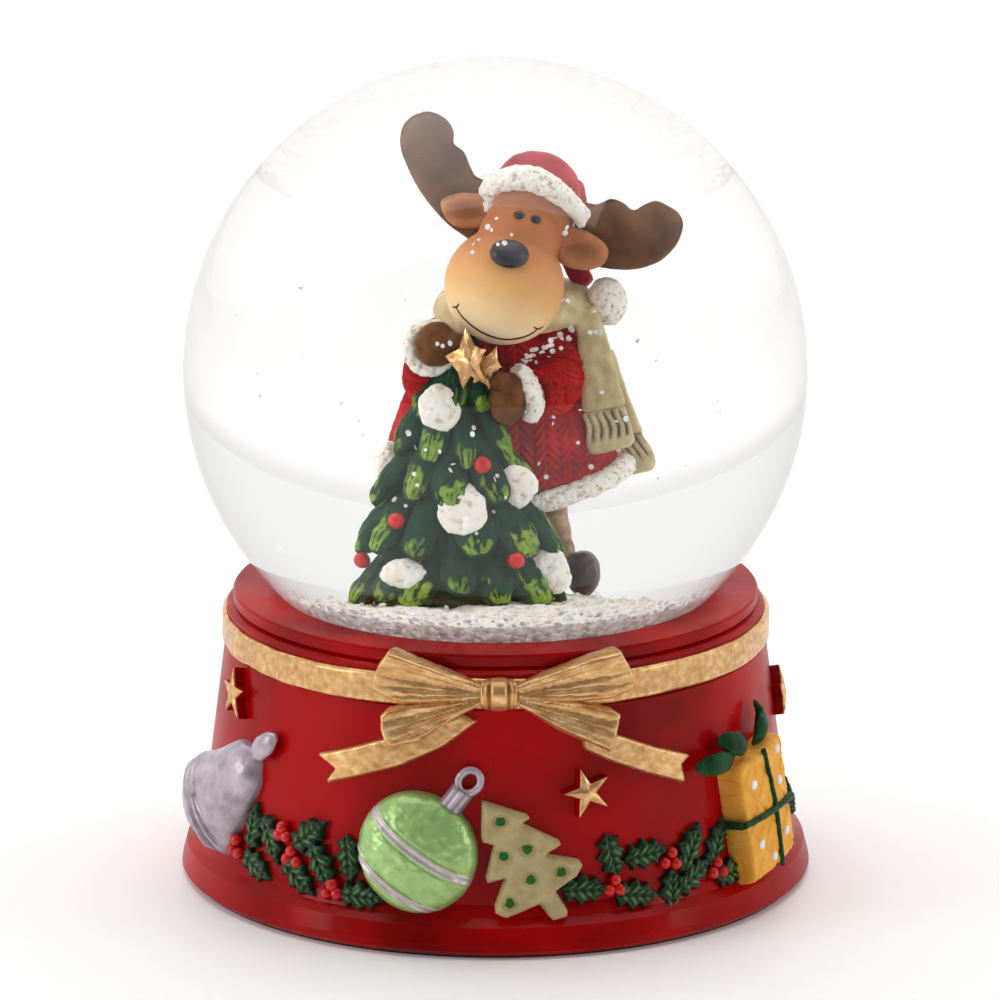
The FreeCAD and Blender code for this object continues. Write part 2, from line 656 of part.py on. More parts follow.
def add_base():
    core = base_core()
    nodes["base_shell"] = base_shell()
    nodes["ribbon_band"] = ribbon_band()
    done = [core, nodes["ribbon_band"]]
    makers = {
        "bow": bow, "ornament_ball": ornament_ball, "ornament_cap": ornament_cap, "cookie_tree": cookie_tree,
        "gift_box": gift_box, "gift_ribbon": gift_ribbon, "bell": bell, "base_stars": base_stars,
        "holly_berries": holly_berries, "holly_leaves": holly_leaves,
    }
    for name, maker in makers.items():
        carved = [carve(solid, done) for solid in maker().Solids]
        nodes[name] = Part.makeCompound([s for shape in carved for s in shape.Solids])
        done.append(nodes[name])


def add_underside():
    cover = post(COVER_R, COVER_LOW_Z, COVER_HIGH_Z)
    holes = [post(SCREW_CLEAR_R, 0, 20, x, y) for x, y in list(boss_places()) + list(MOVEMENT_SCREWS)]
    holes.append(post(ARBOR_R + 0.8, 0, 20))
    nodes["bottom_cover"] = cover.cut(holes)
    screws = [screw(x, y, COVER_LOW_Z, COVER_HIGH_Z + 7) for x, y in boss_places()]
    nodes["cover_screws"] = Part.makeCompound(screws)
    nodes["foot_pad"] = revolve([(PAD_INNER_R, 0), (PAD_OUTER_R, 0), (PAD_OUTER_R, PAD_TOP_Z), (PAD_INNER_R, PAD_TOP_Z)])


# ---------------------------------------------------------------- musical movement

def bedplate():
    """Cast plate with the lug, the comb's riser and the tapped holes."""
    plate = fuse([
        post(15.0, COVER_HIGH_Z, BED_HIGH_Z),
        post(3.6, COVER_HIGH_Z, BED_HIGH_Z, 17.0, 0.0),
        block((-31.0, -15.0, COVER_HIGH_Z), (0.0, 22.5, BED_HIGH_Z)),
        block((-37.0, -19.0, COVER_HIGH_Z), (-10.0, 6.0, BED_HIGH_Z)),
        block((CYLINDER_X[0], 16.7, COVER_HIGH_Z), (CYLINDER_X[1], 21.7, CYLINDER_Z - 0.5)),
    ])
    holes = [post(SCREW_R, 0, 40, x, y) for x, y in MOVEMENT_SCREWS]
    holes += [post(0.9, CYLINDER_Z - 7, 40, x, y) for x, y in comb_screw_places()]
    holes.append(post(ARBOR_R + SHAFT_GAP, 0, 40))
    return plate.cut(holes).removeSplitter()


def comb_screw_places():
    return ((CYLINDER_X[0] + 3.4, 19.2), (CYLINDER_X[1] - 3.4, 19.2))


def music_comb():
    """Steel comb: one tongue to each note, lengthening towards the bass end."""
    pitch = (CYLINDER_X[1] - CYLINDER_X[0]) / NOTES
    tip_y = CYLINDER_R + PIN_HEIGHT + 0.1
    plate = block((CYLINDER_X[0], tip_y, CYLINDER_Z - 0.5), (CYLINDER_X[1], 21.7, CYLINDER_Z + 0.4))
    gaps = []
    for i in range(1, NOTES):
        x = CYLINDER_X[0] + i * pitch
        gaps.append(block((x - 0.12, 0, 20), (x + 0.12, 16.4 - 0.22 * i, 40)))
    holes = [post(0.95, 0, 40, x, y) for x, y in comb_screw_places()]
    return plate.cut(gaps + holes)


def comb_screws():
    screws = []
    for x, y in comb_screw_places():
        head = post(1.7, CYLINDER_Z + 0.4, CYLINDER_Z + 1.6, x, y)
        shank = post(0.9, CYLINDER_Z - 5, CYLINDER_Z + 0.4, x, y)
        slot = block((x - 2, y - 0.25, CYLINDER_Z + 1.0), (x + 2, y + 0.25, CYLINDER_Z + 2))
        screws.append(head.fuse(shank).cut(slot).removeSplitter())
    return Part.makeCompound(screws)


def spring_housing():
    cup = post(HOUSING_R, BED_HIGH_Z, HOUSING_TOP_Z)
    inside = post(HOUSING_R - HOUSING_WALL, BED_HIGH_Z, HOUSING_TOP_Z - HOUSING_WALL)
    return cup.cut([inside, post(ARBOR_R + SHAFT_GAP, 0, 40)])


def mainspring():
    """Flat spiral ribbon, clear of the arbor's core and of the housing."""
    turns = 6.5
    inner_r = 3.6
    outer_r = 11.2
    thickness = 0.35
    steps = 130
    edges = []
    for offset in (-thickness / 2, thickness / 2):
        points = []
        for i in range(steps + 1):
            angle = 2 * math.pi * turns * i / steps
            radius = inner_r + (outer_r - inner_r) * i / steps + offset
            points.append(Vector(radius * math.cos(angle), radius * math.sin(angle), BED_HIGH_Z + 0.4))
        curve = Part.BSplineCurve()
        curve.interpolate(points)
        edges.append(curve.toShape())
    ends = [Part.makeLine(edges[0].Vertexes[i].Point, edges[1].Vertexes[i].Point) for i in (0, 1)]
    outline = Part.Wire(Part.__sortEdges__(edges + ends))
    return Part.Face(outline).extrude(Vector(0, 0, 5.6))


def winding_arbor():
    shaft = post(ARBOR_R, 3.0, CYLINDER_Z - 4.0)
    core = post(2.9, BED_HIGH_Z + 0.3, HOUSING_TOP_Z - HOUSING_WALL - 0.3)
    return shaft.fuse(core).removeSplitter()


def winding_key():
    """Butterfly key screwed on the arbor's lower end, kept inside the recess."""
    hub = post(3.3, 2.0, COVER_LOW_Z - 0.7)
    wings = []
    for side in (-1, 1):
        wing = Part.makeCylinder(3.4, 1.8, Vector(7.4 * side, -0.9, 5.2), Vector(0, 1, 0))
        eye = Part.makeCylinder(1.5, 4.0, Vector(7.4 * side, -2.0, 5.2), Vector(0, 1, 0))
        wings.append(wing.cut(eye))
    bar = block((-5.6, -0.9, 3.0), (5.6, 0.9, 7.4))
    whole = fuse([hub, bar] + wings)
    return whole.cut(post(ARBOR_R, 3.0, 20)).removeSplitter()


def music_cylinder():
    """Brass drum with a scatter of pins on each note's track."""
    drum = rod_x(CYLINDER_R, CYLINDER_X[0], CYLINDER_X[1], 0, CYLINDER_Z)
    pitch = (CYLINDER_X[1] - CYLINDER_X[0]) / NOTES
    pins = []
    for i in range(NOTES):
        x = CYLINDER_X[0] + (i + 0.5) * pitch
        for k in range(5):
            angle = math.radians(47 * i + 72 * k + 13 * ((i * k) % 5))
            way = Vector(0, math.cos(angle), math.sin(angle))
            start = Vector(x, 0, CYLINDER_Z) + way * (CYLINDER_R - 0.4)
            pins.append(Part.makeCylinder(PIN_R, PIN_HEIGHT + 0.4, start, way))
    bore = rod_x(0.8, -50, 0, 0, CYLINDER_Z)
    return drum.multiFuse(pins).cut(bore)


def governor_z():
    distance = WHEEL_MODULE * (WHEEL_TEETH + GOVERNOR_PINION_TEETH) / 2
    return CYLINDER_Z - math.sqrt(distance ** 2 - GOVERNOR_Y ** 2)


def worm_y():
    return GOVERNOR_Y - WORM_MODULE * WORM_WHEEL_TEETH / 2 - WORM_R


def add_cylinder_train():
    z = CYLINDER_Z
    nodes["music_cylinder"] = music_cylinder()
    nodes["cylinder_arbor"] = rod_x(0.8, -33.0, -9.4, 0, z)
    pinion = gear_x(CYLINDER_PINION_TEETH, CROWN_MODULE, math.pi / CYLINDER_PINION_TEETH, -11.8, -9.8, 0, z)
    nodes["cylinder_pinion"] = pinion.cut(rod_x(0.8, -50, 0, 0, z))
    towards = math.atan2(GOVERNOR_Y, z - governor_z())
    wheel = gear_x(WHEEL_TEETH, WHEEL_MODULE, towards, -31.0, -30.0, 0, z)
    nodes["cylinder_wheel"] = wheel.cut(rod_x(0.8, -50, 0, 0, z))


def add_governor_train():
    y = GOVERNOR_Y
    z = governor_z()
    bore = rod_x(0.6, -50, 0, y, z)
    back = math.atan2(-GOVERNOR_Y, z - CYLINDER_Z) + math.pi / GOVERNOR_PINION_TEETH
    pinion = gear_x(GOVERNOR_PINION_TEETH, WHEEL_MODULE, back, -31.2, -29.8, y, z)
    nodes["governor_pinion"] = pinion.cut(bore)
    nodes["governor_arbor"] = rod_x(0.6, -36.0, -29.2, y, z)
    lead_slope = WORM_STARTS * WORM_MODULE / (2 * WORM_R)
    face = 1.2
    twist = face * lead_slope / (WORM_MODULE * WORM_WHEEL_TEETH / 2)
    wheel = gear_x(WORM_WHEEL_TEETH, WORM_MODULE, -math.pi / 2, WORM_X - face / 2, WORM_X + face / 2, y, z, twist)
    nodes["worm_wheel"] = wheel.cut(bore)


def add_worm():
    """Worm and its fan, turning in the governor bracket."""
    z = governor_z()
    y = worm_y()
    lead = WORM_STARTS * math.pi * WORM_MODULE
    turns = 2
    low = -lead * turns / 2
    shaft = post(WORM_R - WORM_MODULE * DEDENDUM + 0.1, z - 5.5, z + 5.0)
    threads = [worm_thread(start, z + low, turns) for start in (0, 180)]
    tip = post(0.4, 14.2, z - 5.5)
    neck = post(0.5, z + 5.0, 34.2)
    worm = fuse([shaft, tip, neck] + threads)
    worm.translate(Vector(WORM_X, y, 0))
    nodes["governor_worm"] = worm
    fan = block((-3.8, -0.2, 28.4), (3.8, 0.2, 32.8)).fuse(post(1.0, 28.4, 32.8)).cut(post(0.5, 0, 40))
    fan.translate(Vector(WORM_X, y, 0))
    nodes["governor_fan"] = fan.removeSplitter()


def add_brackets():
    z = governor_z()
    y = worm_y()
    arbor_hole = rod_x(0.8 + SHAFT_GAP, -50, 0, 0, CYLINDER_Z)
    governor_hole = rod_x(0.6 + SHAFT_GAP, -50, 0, GOVERNOR_Y, z)
    inner = block((-14.6, -3.0, BED_HIGH_Z), (-13.4, 3.0, CYLINDER_Z + 3))
    tall = block((-32.6, -3.0, BED_HIGH_Z), (-31.4, 3.0, CYLINDER_Z + 3))
    low = block((-32.6, -10.6, BED_HIGH_Z), (-31.4, -3.0, z + 2.6))
    outer = tall.fuse(low).removeSplitter()
    nodes["bearing_posts"] = Part.makeCompound([inner.cut(arbor_hole), outer.cut([arbor_hole, governor_hole])])
    foot = block((-35.6, -19.0, BED_HIGH_Z), (-31.8, -10.9, BED_HIGH_Z + 1.2))
    back = block((-35.2, -19.0, BED_HIGH_Z), (-32.2, -18.0, 34.6))
    top = block((-35.2, -19.0, 33.4), (-32.2, y + 1.6, 34.6))
    outer_ear = block((-36.4, -10.4, BED_HIGH_Z), (-35.4, -5.6, z + 2.2))
    ear_foot = block((-36.4, -11.8, BED_HIGH_Z), (-34.6, -10.4, BED_HIGH_Z + 1.2))
    pivots = [post(0.4 + SHAFT_GAP, 13.9, 20, WORM_X, y), post(0.5 + SHAFT_GAP, 30, 40, WORM_X, y)]
    whole = fuse([foot, back, top, outer_ear, ear_foot])
    nodes["governor_bracket"] = whole.cut(pivots + [governor_hole]).removeSplitter()


def add_movement():
    nodes["bedplate"] = bedplate()
    screws = [screw(x, y, COVER_LOW_Z, BED_HIGH_Z) for x, y in MOVEMENT_SCREWS]
    nodes["movement_screws"] = Part.makeCompound(screws)
    nodes["spring_housing"] = spring_housing()
    nodes["mainspring"] = mainspring()
    nodes["winding_arbor"] = winding_arbor()
    nodes["crown_gear"] = crown_gear()
    nodes["winding_key"] = winding_key()
    nodes["music_comb"] = music_comb()
    nodes["comb_screws"] = comb_screws()
    add_cylinder_train()
    add_governor_train()
    add_worm()
    add_brackets()


# ---------------------------------------------------------------- build

nodes["glass_globe"] = glass_globe()
nodes["rubber_plug"] = rubber_plug()
nodes["snow_mound"] = snow_mound()
figure = add_figure()
nodes["snow_flakes"] = snow_flakes()
nodes["liquid_fill"] = keep_solids(inner_ball().cut(post(GLASS_R, 0, plug_top_z())).cut(
    [nodes["snow_mound"], nodes["snow_flakes"]] + figure), 1.0)
add_base()
add_underside()
add_movement()

for name, shape in nodes.items():
    print(name, len(shape.Solids), "solids", round(shape.Volume, 1), "mm3", "valid" if shape.isValid() else "INVALID")
    shape.exportStep("parts/" + name + ".step")
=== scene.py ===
import json
import math

import bmesh
import bpy
import numpy as np
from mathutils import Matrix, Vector, geometry, noise
from mathutils.bvhtree import BVHTree


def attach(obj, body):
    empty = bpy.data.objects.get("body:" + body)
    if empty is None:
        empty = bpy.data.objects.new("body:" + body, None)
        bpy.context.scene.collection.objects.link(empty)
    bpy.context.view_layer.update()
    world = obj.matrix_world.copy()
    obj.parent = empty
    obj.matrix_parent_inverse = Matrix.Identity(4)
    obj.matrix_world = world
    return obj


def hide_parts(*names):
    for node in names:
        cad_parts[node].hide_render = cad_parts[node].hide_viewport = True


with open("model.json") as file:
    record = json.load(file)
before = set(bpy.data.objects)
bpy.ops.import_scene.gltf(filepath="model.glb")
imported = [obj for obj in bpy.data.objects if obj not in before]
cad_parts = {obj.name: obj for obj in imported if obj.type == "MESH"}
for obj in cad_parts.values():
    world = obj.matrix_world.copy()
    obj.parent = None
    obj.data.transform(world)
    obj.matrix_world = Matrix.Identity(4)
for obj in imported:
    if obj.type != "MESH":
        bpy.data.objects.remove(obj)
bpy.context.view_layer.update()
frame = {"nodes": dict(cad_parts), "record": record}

# Shapes are written in millimetres, in the frame's axes, and scaled by MM when they become meshes.
MM = 0.001
rng = np.random.default_rng(7)

# Sizes shared with the frame
BALL_R = 50.0
BALL_WALL = 2.4
BALL_Z = 82.5
NECK_R = 33.0
NECK_LOW_Z = 40.6
BODY_R = 47.6
BODY_Z = 8.0
BODY_SLOPE = 0.1294
BAND_LOW_Z = 38.6
BAND_HIGH_Z = 43.6
SNOW_TOP_Z = 55.5
SNOW_EDGE_Z = 50.5


def rgb(red, green, blue):
    """Linear colour from 0 to 255 display values."""
    parts = [value / 255 for value in (red, green, blue)]
    linear = [p / 12.92 if p <= 0.04045 else ((p + 0.055) / 1.055) ** 2.4 for p in parts]
    return (*linear, 1.0)


# ------------------------------------------------------------------ shapes as (points, faces)

def join(forms):
    points, faces, start = [], [], 0
    for these, those in forms:
        points.append(np.asarray(these, float))
        faces += [tuple(i + start for i in face) for face in those]
        start += len(these)
    return np.vstack(points), faces


def rotation(axis, degrees):
    angle = math.radians(degrees)
    x, y, z = Vector(axis).normalized()
    c, s = math.cos(angle), math.sin(angle)
    return np.array([
        [c + x * x * (1 - c), x * y * (1 - c) - z * s, x * z * (1 - c) + y * s],
        [y * x * (1 - c) + z * s, c + y * y * (1 - c), y * z * (1 - c) - x * s],
        [z * x * (1 - c) - y * s, z * y * (1 - c) + x * s, c + z * z * (1 - c)],
    ])


def ball(centre, radii, tilt=0.0, sides=28, rings=16):
    """Ellipsoid tilted about Y, clockwise as seen from the front."""
    points = [(0, 0, -1)]
    for i in range(1, rings):
        polar = math.pi * i / rings
        for k in range(sides):
            angle = 2 * math.pi * k / sides
            reach = math.sin(polar)
            points.append((reach * math.cos(angle), reach * math.sin(angle), -math.cos(polar)))
    points.append((0, 0, 1))
    last = len(points) - 1
    faces = []
    for k in range(sides):
        after = (k + 1) % sides
        faces.append((0, 1 + after, 1 + k))
        faces.append((last, last - sides + k, last - sides + after))
        for i in range(rings - 2):
            low = 1 + i * sides
            faces.append((low + k, low + after, low + sides + after, low + sides + k))
    points = np.array(points, float) * np.array(radii)
    return points @ rotation((0, 1, 0), tilt).T + np.array(centre), faces


def smooth_path(stations, count, closed=False):
    """Catmull-Rom curve through stations of any number of columns."""
    p = np.asarray(stations, float)
    if closed:
        p = np.vstack([p[-1], p, p[0], p[1]])
    else:
        p = np.vstack([2 * p[0] - p[1], p, 2 * p[-1] - p[-2]])
    spans = len(p) - 3
    out = []
    for u in np.linspace(0, spans, count, endpoint=not closed):
        i = min(int(u), spans - 1)
        t = u - i
        a, b, c, d = p[i:i + 4]
        bend = (2 * a - 5 * b + 4 * c - d) * t ** 2
        twist = (3 * b - a - 3 * c + d) * t ** 3
        out.append(0.5 * (2 * b + (c - a) * t + bend + twist))
    return np.array(out)


def tube_faces(count, sides, closed=False):
    """Faces of count rings of points, with end caps unless the tube meets itself."""
    faces = []
    for i in range(count if closed else count - 1):
        up = sides if i < count - 1 else -i * sides
        for k in range(sides):
            a = i * sides + k
            b = i * sides + (k + 1) % sides
            faces.append((a, b, b + up, a + up))
    if not closed:
        faces.append(tuple(reversed(range(sides))))
        faces.append(tuple(range((count - 1) * sides, count * sides)))
    return faces


def strip(stations, wide=(1, 0, 0), count=40, sides=16, square=1.0):
    """Sweep of an oval through (x, y, z, half width, half thickness); wide is the width's direction."""
    path = smooth_path(stations, count)
    points = []
    tangents = np.gradient(path[:, :3], axis=0)
    for row, tangent in zip(path, tangents):
        way = tangent / np.linalg.norm(tangent)
        across = np.array(wide, float) - way * np.dot(wide, way)
        across /= np.linalg.norm(across)
        beside = np.cross(way, across)
        for k in range(sides):
            angle = 2 * math.pi * k / sides
            c, s = math.cos(angle), math.sin(angle)
            c = math.copysign(abs(c) ** square, c)
            s = math.copysign(abs(s) ** square, s)
            points.append(row[:3] + across * (row[3] * c) + beside * (row[4] * s))
    return np.array(points), tube_faces(count, sides)


def cord_form(stations, count=40, sides=14, closed=False):
    """Round tube through (x, y, z, radius) stations."""
    path = smooth_path(stations, count, closed)
    points = []
    tangents = np.gradient(path[:, :3], axis=0)
    if closed:
        tangents = np.roll(path[:, :3], -1, axis=0) - np.roll(path[:, :3], 1, axis=0)
    across = np.array([0.3, -0.8, 0.5])
    for row, tangent in zip(path, tangents):
        way = tangent / np.linalg.norm(tangent)
        across = across - way * np.dot(across, way)
        across /= np.linalg.norm(across)
        beside = np.cross(way, across)
        for k in range(sides):
            angle = 2 * math.pi * k / sides
            points.append(row[:3] + row[3] * (across * math.cos(angle) + beside * math.sin(angle)))
    return np.array(points), tube_faces(count, sides, closed)


def lathe(profile, sides=256, closed=True):
    """Turned shape about Z from (radius, z) points; points on the axis are shared by every side."""
    count = len(profile)
    points, index = [], {}
    for k in range(sides):
        angle = 2 * math.pi * k / sides
        for i, (r, z) in enumerate(profile):
            if r < 1e-6 and k:
                index[k, i] = index[0, i]
                continue
            index[k, i] = len(points)
            points.append((r * math.cos(angle), r * math.sin(angle), z))
    faces = []
    for k in range(sides):
        after = (k + 1) % sides
        for i in range(count if closed else count - 1):
            j = (i + 1) % count
            corners = [index[k, i], index[after, i], index[after, j], index[k, j]]
            corners = list(dict.fromkeys(corners))
            if len(corners) > 2:
                faces.append(tuple(corners))
    return np.array(points, float), faces


def arc(centre, radius, start, end, count):
    """Points of an arc in the (radius, z) plane, in degrees from the +radius axis."""
    angles = np.radians(np.linspace(start, end, count))
    return [(centre[0] + radius * math.cos(a), centre[1] + radius * math.sin(a)) for a in angles]


def as_mesh(form, name="form", scale=1.0):
    points, faces = form
    mesh = bpy.data.meshes.new(name)
    mesh.from_pydata((np.asarray(points) * scale).tolist(), [], faces)
    mesh.update()
    return mesh


def read_mesh(mesh):
    points = np.empty(len(mesh.vertices) * 3)
    mesh.vertices.foreach_get("co", points)
    return points.reshape(-1, 3), [tuple(face.vertices) for face in mesh.polygons]


def melt(forms, voxel=0.3, soften=3):
    """One skin round several overlapping shapes, with the joins between them softened."""
    mesh = as_mesh(join(forms))
    work = bpy.data.objects.new("work", mesh)
    bpy.context.scene.collection.objects.link(work)
    remesh = work.modifiers.new("skin", "REMESH")
    remesh.mode = "VOXEL"
    remesh.voxel_size = voxel
    if soften:
        smoother = work.modifiers.new("soften", "SMOOTH")
        smoother.factor = 0.5
        smoother.iterations = soften
    bpy.context.view_layer.update()
    done = bpy.data.meshes.new_from_object(work.evaluated_get(bpy.context.evaluated_depsgraph_get()))
    form = read_mesh(done)
    bpy.data.objects.remove(work)
    bpy.data.meshes.remove(done)
    bpy.data.meshes.remove(mesh)
    return form


def normals_of(form):
    mesh = as_mesh(form)
    out = np.empty(len(mesh.vertices) * 3)
    mesh.vertex_normals.foreach_get("vector", out)
    bpy.data.meshes.remove(mesh)
    return out.reshape(-1, 3)


def field(points, size, seed=0.0, layers=3):
    """Soft noise from about -1 to 1 at each point, with features of a given size."""
    shift = Vector((seed, seed * 1.7, seed * 0.6))
    return np.array([noise.fractal(Vector(p) / size + shift, 1.0, 2.0, layers) for p in points])


def raised(form, amounts):
    """Points moved along their normals."""
    return form[0] + normals_of(form) * np.asarray(amounts)[:, None]


def rough(form, size, amount, seed=0.0, layers=3):
    return raised(form, field(form[0], size, seed, layers) * amount), form[1]


# ------------------------------------------------------------------ flat outlines

def inside(points, outline):
    x, y = points[:, 0], points[:, 1]
    within = np.zeros(len(points), bool)
    for (x0, y0), (x1, y1) in zip(outline, np.roll(outline, -1, axis=0)):
        crosses = (y0 > y) != (y1 > y)
        if y1 != y0:
            within ^= crosses & (x < (x1 - x0) * (y - y0) / (y1 - y0) + x0)
    return within


def edge_distance(points, outline):
    best = np.full(len(points), 1e9)
    for a, b in zip(outline, np.roll(outline, -1, axis=0)):
        run = b - a
        t = np.clip(((points - a) @ run) / max(run @ run, 1e-9), 0, 1)
        best = np.minimum(best, np.linalg.norm(points - (a + t[:, None] * run), axis=1))
    return best


def fill(outline, step):
    """Triangles over an outline: its own points first, then a grid inside; and the depth from the edge."""
    outline = np.asarray(outline, float)
    dense = []
    for a, b in zip(outline, np.roll(outline, -1, axis=0)):
        parts = max(1, int(round(np.linalg.norm(b - a) / step)))
        dense += [a + (b - a) * i / parts for i in range(parts)]
    dense = np.array(dense)
    low, high = dense.min(0), dense.max(0)
    xs = np.arange(low[0], high[0], step)
    ys = np.arange(low[1], high[1], step * 0.87)
    grid = np.array([(x + (step / 2 if j % 2 else 0), y) for j, y in enumerate(ys) for x in xs])
    grid = grid[inside(grid, outline)]
    grid = grid[edge_distance(grid, outline) > step * 0.45]
    every = np.vstack([dense, grid])
    loop = list(range(len(dense)))
    found = geometry.delaunay_2d_cdt([Vector(p) for p in every], [], [loop], 1, 1e-5)
    points = np.array([tuple(p) for p in found[0]])
    rim = [i for i, origin in enumerate(found[3]) if origin and min(origin) < len(dense)]
    rim.sort(key=lambda i: min(found[3][i]))
    return points, [tuple(f) for f in found[2]], rim, edge_distance(points, outline)


def round_edge(depth, width):
    """0 at an outline and 1 inside it, along a quarter circle."""
    t = 1 - np.clip(depth / width, 0, 1)
    return np.sqrt(np.clip(1 - t * t, 0, 1))


def puff(outline, y_middle, thickness, edge, step=0.4):
    """Rounded slab with an (x, z) outline, facing front and back."""
    flat, faces, rim, depth = fill(smooth_path(outline, 90, True), step)
    half = thickness / 2 * round_edge(depth, edge)
    front = np.column_stack([flat[:, 0], y_middle - half, flat[:, 1]])
    back = np.column_stack([flat[:, 0], y_middle + half, flat[:, 1]])
    count = len(flat)
    faces = [tuple(face) for face in faces] + [tuple(i + count for i in reversed(face)) for face in faces]
    for a, b in zip(rim, rim[1:] + rim[:1]):
        faces.append((b, a, a + count, b + count))
    return np.vstack([front, back]), faces


# ------------------------------------------------------------------ the base's side

def side_radius(z):
    return BODY_R - BODY_SLOPE * (np.minimum(z, BAND_LOW_Z - 0.2) - BODY_Z)


def wrap(points):
    """(arc length from the front, z, height) onto the base's side."""
    s, z, height = points.T
    radius = side_radius(z)
    angle = s / radius
    reach = radius + height
    return np.column_stack([reach * np.sin(angle), -reach * np.cos(angle), z + height * BODY_SLOPE])


def relief(outline, shape, place=(0.0, 0.0, 0.0), step=0.25, skirt=1.2):
    """Raised shape on the base's side at (s, z, turn); shape gives (height, shade) for its flat points."""
    flat, faces, rim, depth = fill(outline, step)
    height, shade = shape(flat, depth)
    s, z, degrees = place
    angle = math.radians(degrees)
    spin = np.array([[math.cos(angle), math.sin(angle)], [-math.sin(angle), math.cos(angle)]])
    flat = flat @ spin + np.array([s, z])
    top = np.column_stack([flat, height])
    foot = np.column_stack([flat[rim], np.full(len(rim), -skirt)])
    count = len(flat)
    faces = list(faces)
    for k in range(len(rim)):
        after = (k + 1) % len(rim)
        faces.append((rim[after], rim[k], count + k, count + after))
    # the skirt's sides get a shade of 0.15, which the paints with painted shade darken
    shades = np.concatenate([shade, np.full(len(rim), 0.15)])
    return wrap(np.vstack([top, foot])), faces, shades


def turned(outline, s, z, degrees):
    angle = math.radians(degrees)
    c, n = math.cos(angle), math.sin(angle)
    return [(s + u * c - v * n, z + u * n + v * c) for u, v in outline]


def at_theta(theta, z):
    return math.radians(theta) * float(side_radius(z))


# ------------------------------------------------------------------ materials
PAINT_SHEEN = 0.12
BLACK = (0.0, 0.0, 0.0, 1.0)
WHITE = (1.0, 1.0, 1.0, 1.0)


def new_material(name):
    material = bpy.data.materials.new(name)
    material.use_nodes = True
    tree = material.node_tree
    return material, tree, tree.nodes["Principled BSDF"]


def add_node(tree, kind, **values):
    node = tree.nodes.new(kind)
    for key, value in values.items():
        if hasattr(node, key):
            setattr(node, key, value)
        else:
            node.inputs[key.replace("_", " ")].default_value = value
    return node


def settle(node, **values):
    for key, value in values.items():
        node.inputs[key.replace("_", " ")].default_value = value


def feed(tree, node, **sources):
    for key, source in sources.items():
        tree.links.new(source, node.inputs[key.replace("_", " ")])


def noise_node(tree, size, detail=3.0, stretch=(1, 1, 1)):
    """Noise with features of size millimetres."""
    place = add_node(tree, "ShaderNodeTexCoord")
    mapping = add_node(tree, "ShaderNodeMapping", Scale=tuple(1000 / size * s for s in stretch))
    texture = add_node(tree, "ShaderNodeTexNoise", Scale=1.0, Detail=detail)
    feed(tree, mapping, Vector=place.outputs["Object"])
    feed(tree, texture, Vector=mapping.outputs["Vector"])
    return texture.outputs["Fac"]


def ramp(tree, source, stops):
    node = tree.nodes.new("ShaderNodeValToRGB")
    elements = node.color_ramp.elements
    while len(elements) < len(stops):
        elements.new(0.5)
    for element, (position, colour) in zip(elements, stops):
        element.position = position
        element.color = colour
    tree.links.new(source, node.inputs["Fac"])
    return node.outputs["Color"]


def fade(tree, source, low, high, dark=BLACK, light=WHITE):
    return ramp(tree, source, [(low, dark), (high, light)])


def gloss(tree, source, low, high):
    """Grey values from low to high for a roughness."""
    return fade(tree, source, 0.3, 0.7, (low, low, low, 1), (high, high, high, 1))


def scaled(tree, source, factor, add):
    """source * factor + add, where add is a number or a socket."""
    node = add_node(tree, "ShaderNodeMath", operation="MULTIPLY_ADD")
    tree.links.new(source, node.inputs[0])
    node.inputs[1].default_value = factor
    if isinstance(add, bpy.types.NodeSocket):
        tree.links.new(add, node.inputs[2])
    else:
        node.inputs[2].default_value = add
    return node.outputs[0]


def place_axes(tree, space="Object"):
    """Sockets of the place's X, Y and Z."""
    split = add_node(tree, "ShaderNodeSeparateXYZ")
    feed(tree, split, Vector=add_node(tree, "ShaderNodeTexCoord").outputs[space])
    return split.outputs


def mix(tree, factor, first, second):
    node = tree.nodes.new("ShaderNodeMix")
    node.data_type = "RGBA"
    for socket, value in ((node.inputs[0], factor), (node.inputs[6], first), (node.inputs[7], second)):
        if isinstance(value, bpy.types.NodeSocket):
            tree.links.new(value, socket)
        else:
            socket.default_value = value
    return node.outputs[2]


def attribute(tree, name):
    node = add_node(tree, "ShaderNodeAttribute", attribute_name=name)
    return node.outputs["Fac"]


def bump(tree, shader, layers, distance=0.1):
    """Bump from (height socket, strength) layers; distance is in millimetres."""
    last = None
    for height, strength in layers:
        node = add_node(tree, "ShaderNodeBump", Strength=strength, Distance=distance * MM)
        feed(tree, node, Height=height)
        if last:
            feed(tree, node, Normal=last)
        last = node.outputs["Normal"]
    feed(tree, shader, Normal=last)


def paint(name, dark, light, roughness=0.5, size=2.5, grain=0.35, strength=0.4,
          coat=0.0, metallic=0.0, shade=False, glow=0.0):
    """Brushed hobby paint: colour drifts from dark to light, with fine grain; where the shade attribute is
    low, the colour is darkened as painted shade in recesses and grooves.
    """
    material, tree, shader = new_material(name)
    colour = fade(tree, noise_node(tree, size, 4.0), 0.3, 0.7, dark, light)
    if shade:
        # deep: the painted shade colour, 0.3 of the dark paint, mixed in where the shade attribute is low
        deep = tuple(0.3 * c for c in dark[:3]) + (1.0,)
        colour = mix(tree, fade(tree, attribute(tree, "shade"), 0.0, 0.55), deep, colour)
    feed(tree, shader, Base_Color=colour)
    settle(shader, Roughness=roughness, Metallic=metallic, Specular_IOR_Level=PAINT_SHEEN)
    settle(shader, Coat_Weight=coat, Coat_Roughness=0.08)
    # glow: the paint emits its own colour, as painted light
    if glow:
        feed(tree, shader, Emission_Color=colour)
        settle(shader, Emission_Strength=glow)
    fine, broad = noise_node(tree, grain, 4.0), noise_node(tree, size * 2)
    bump(tree, shader, [(fine, strength), (broad, strength * 0.5)])
    return material


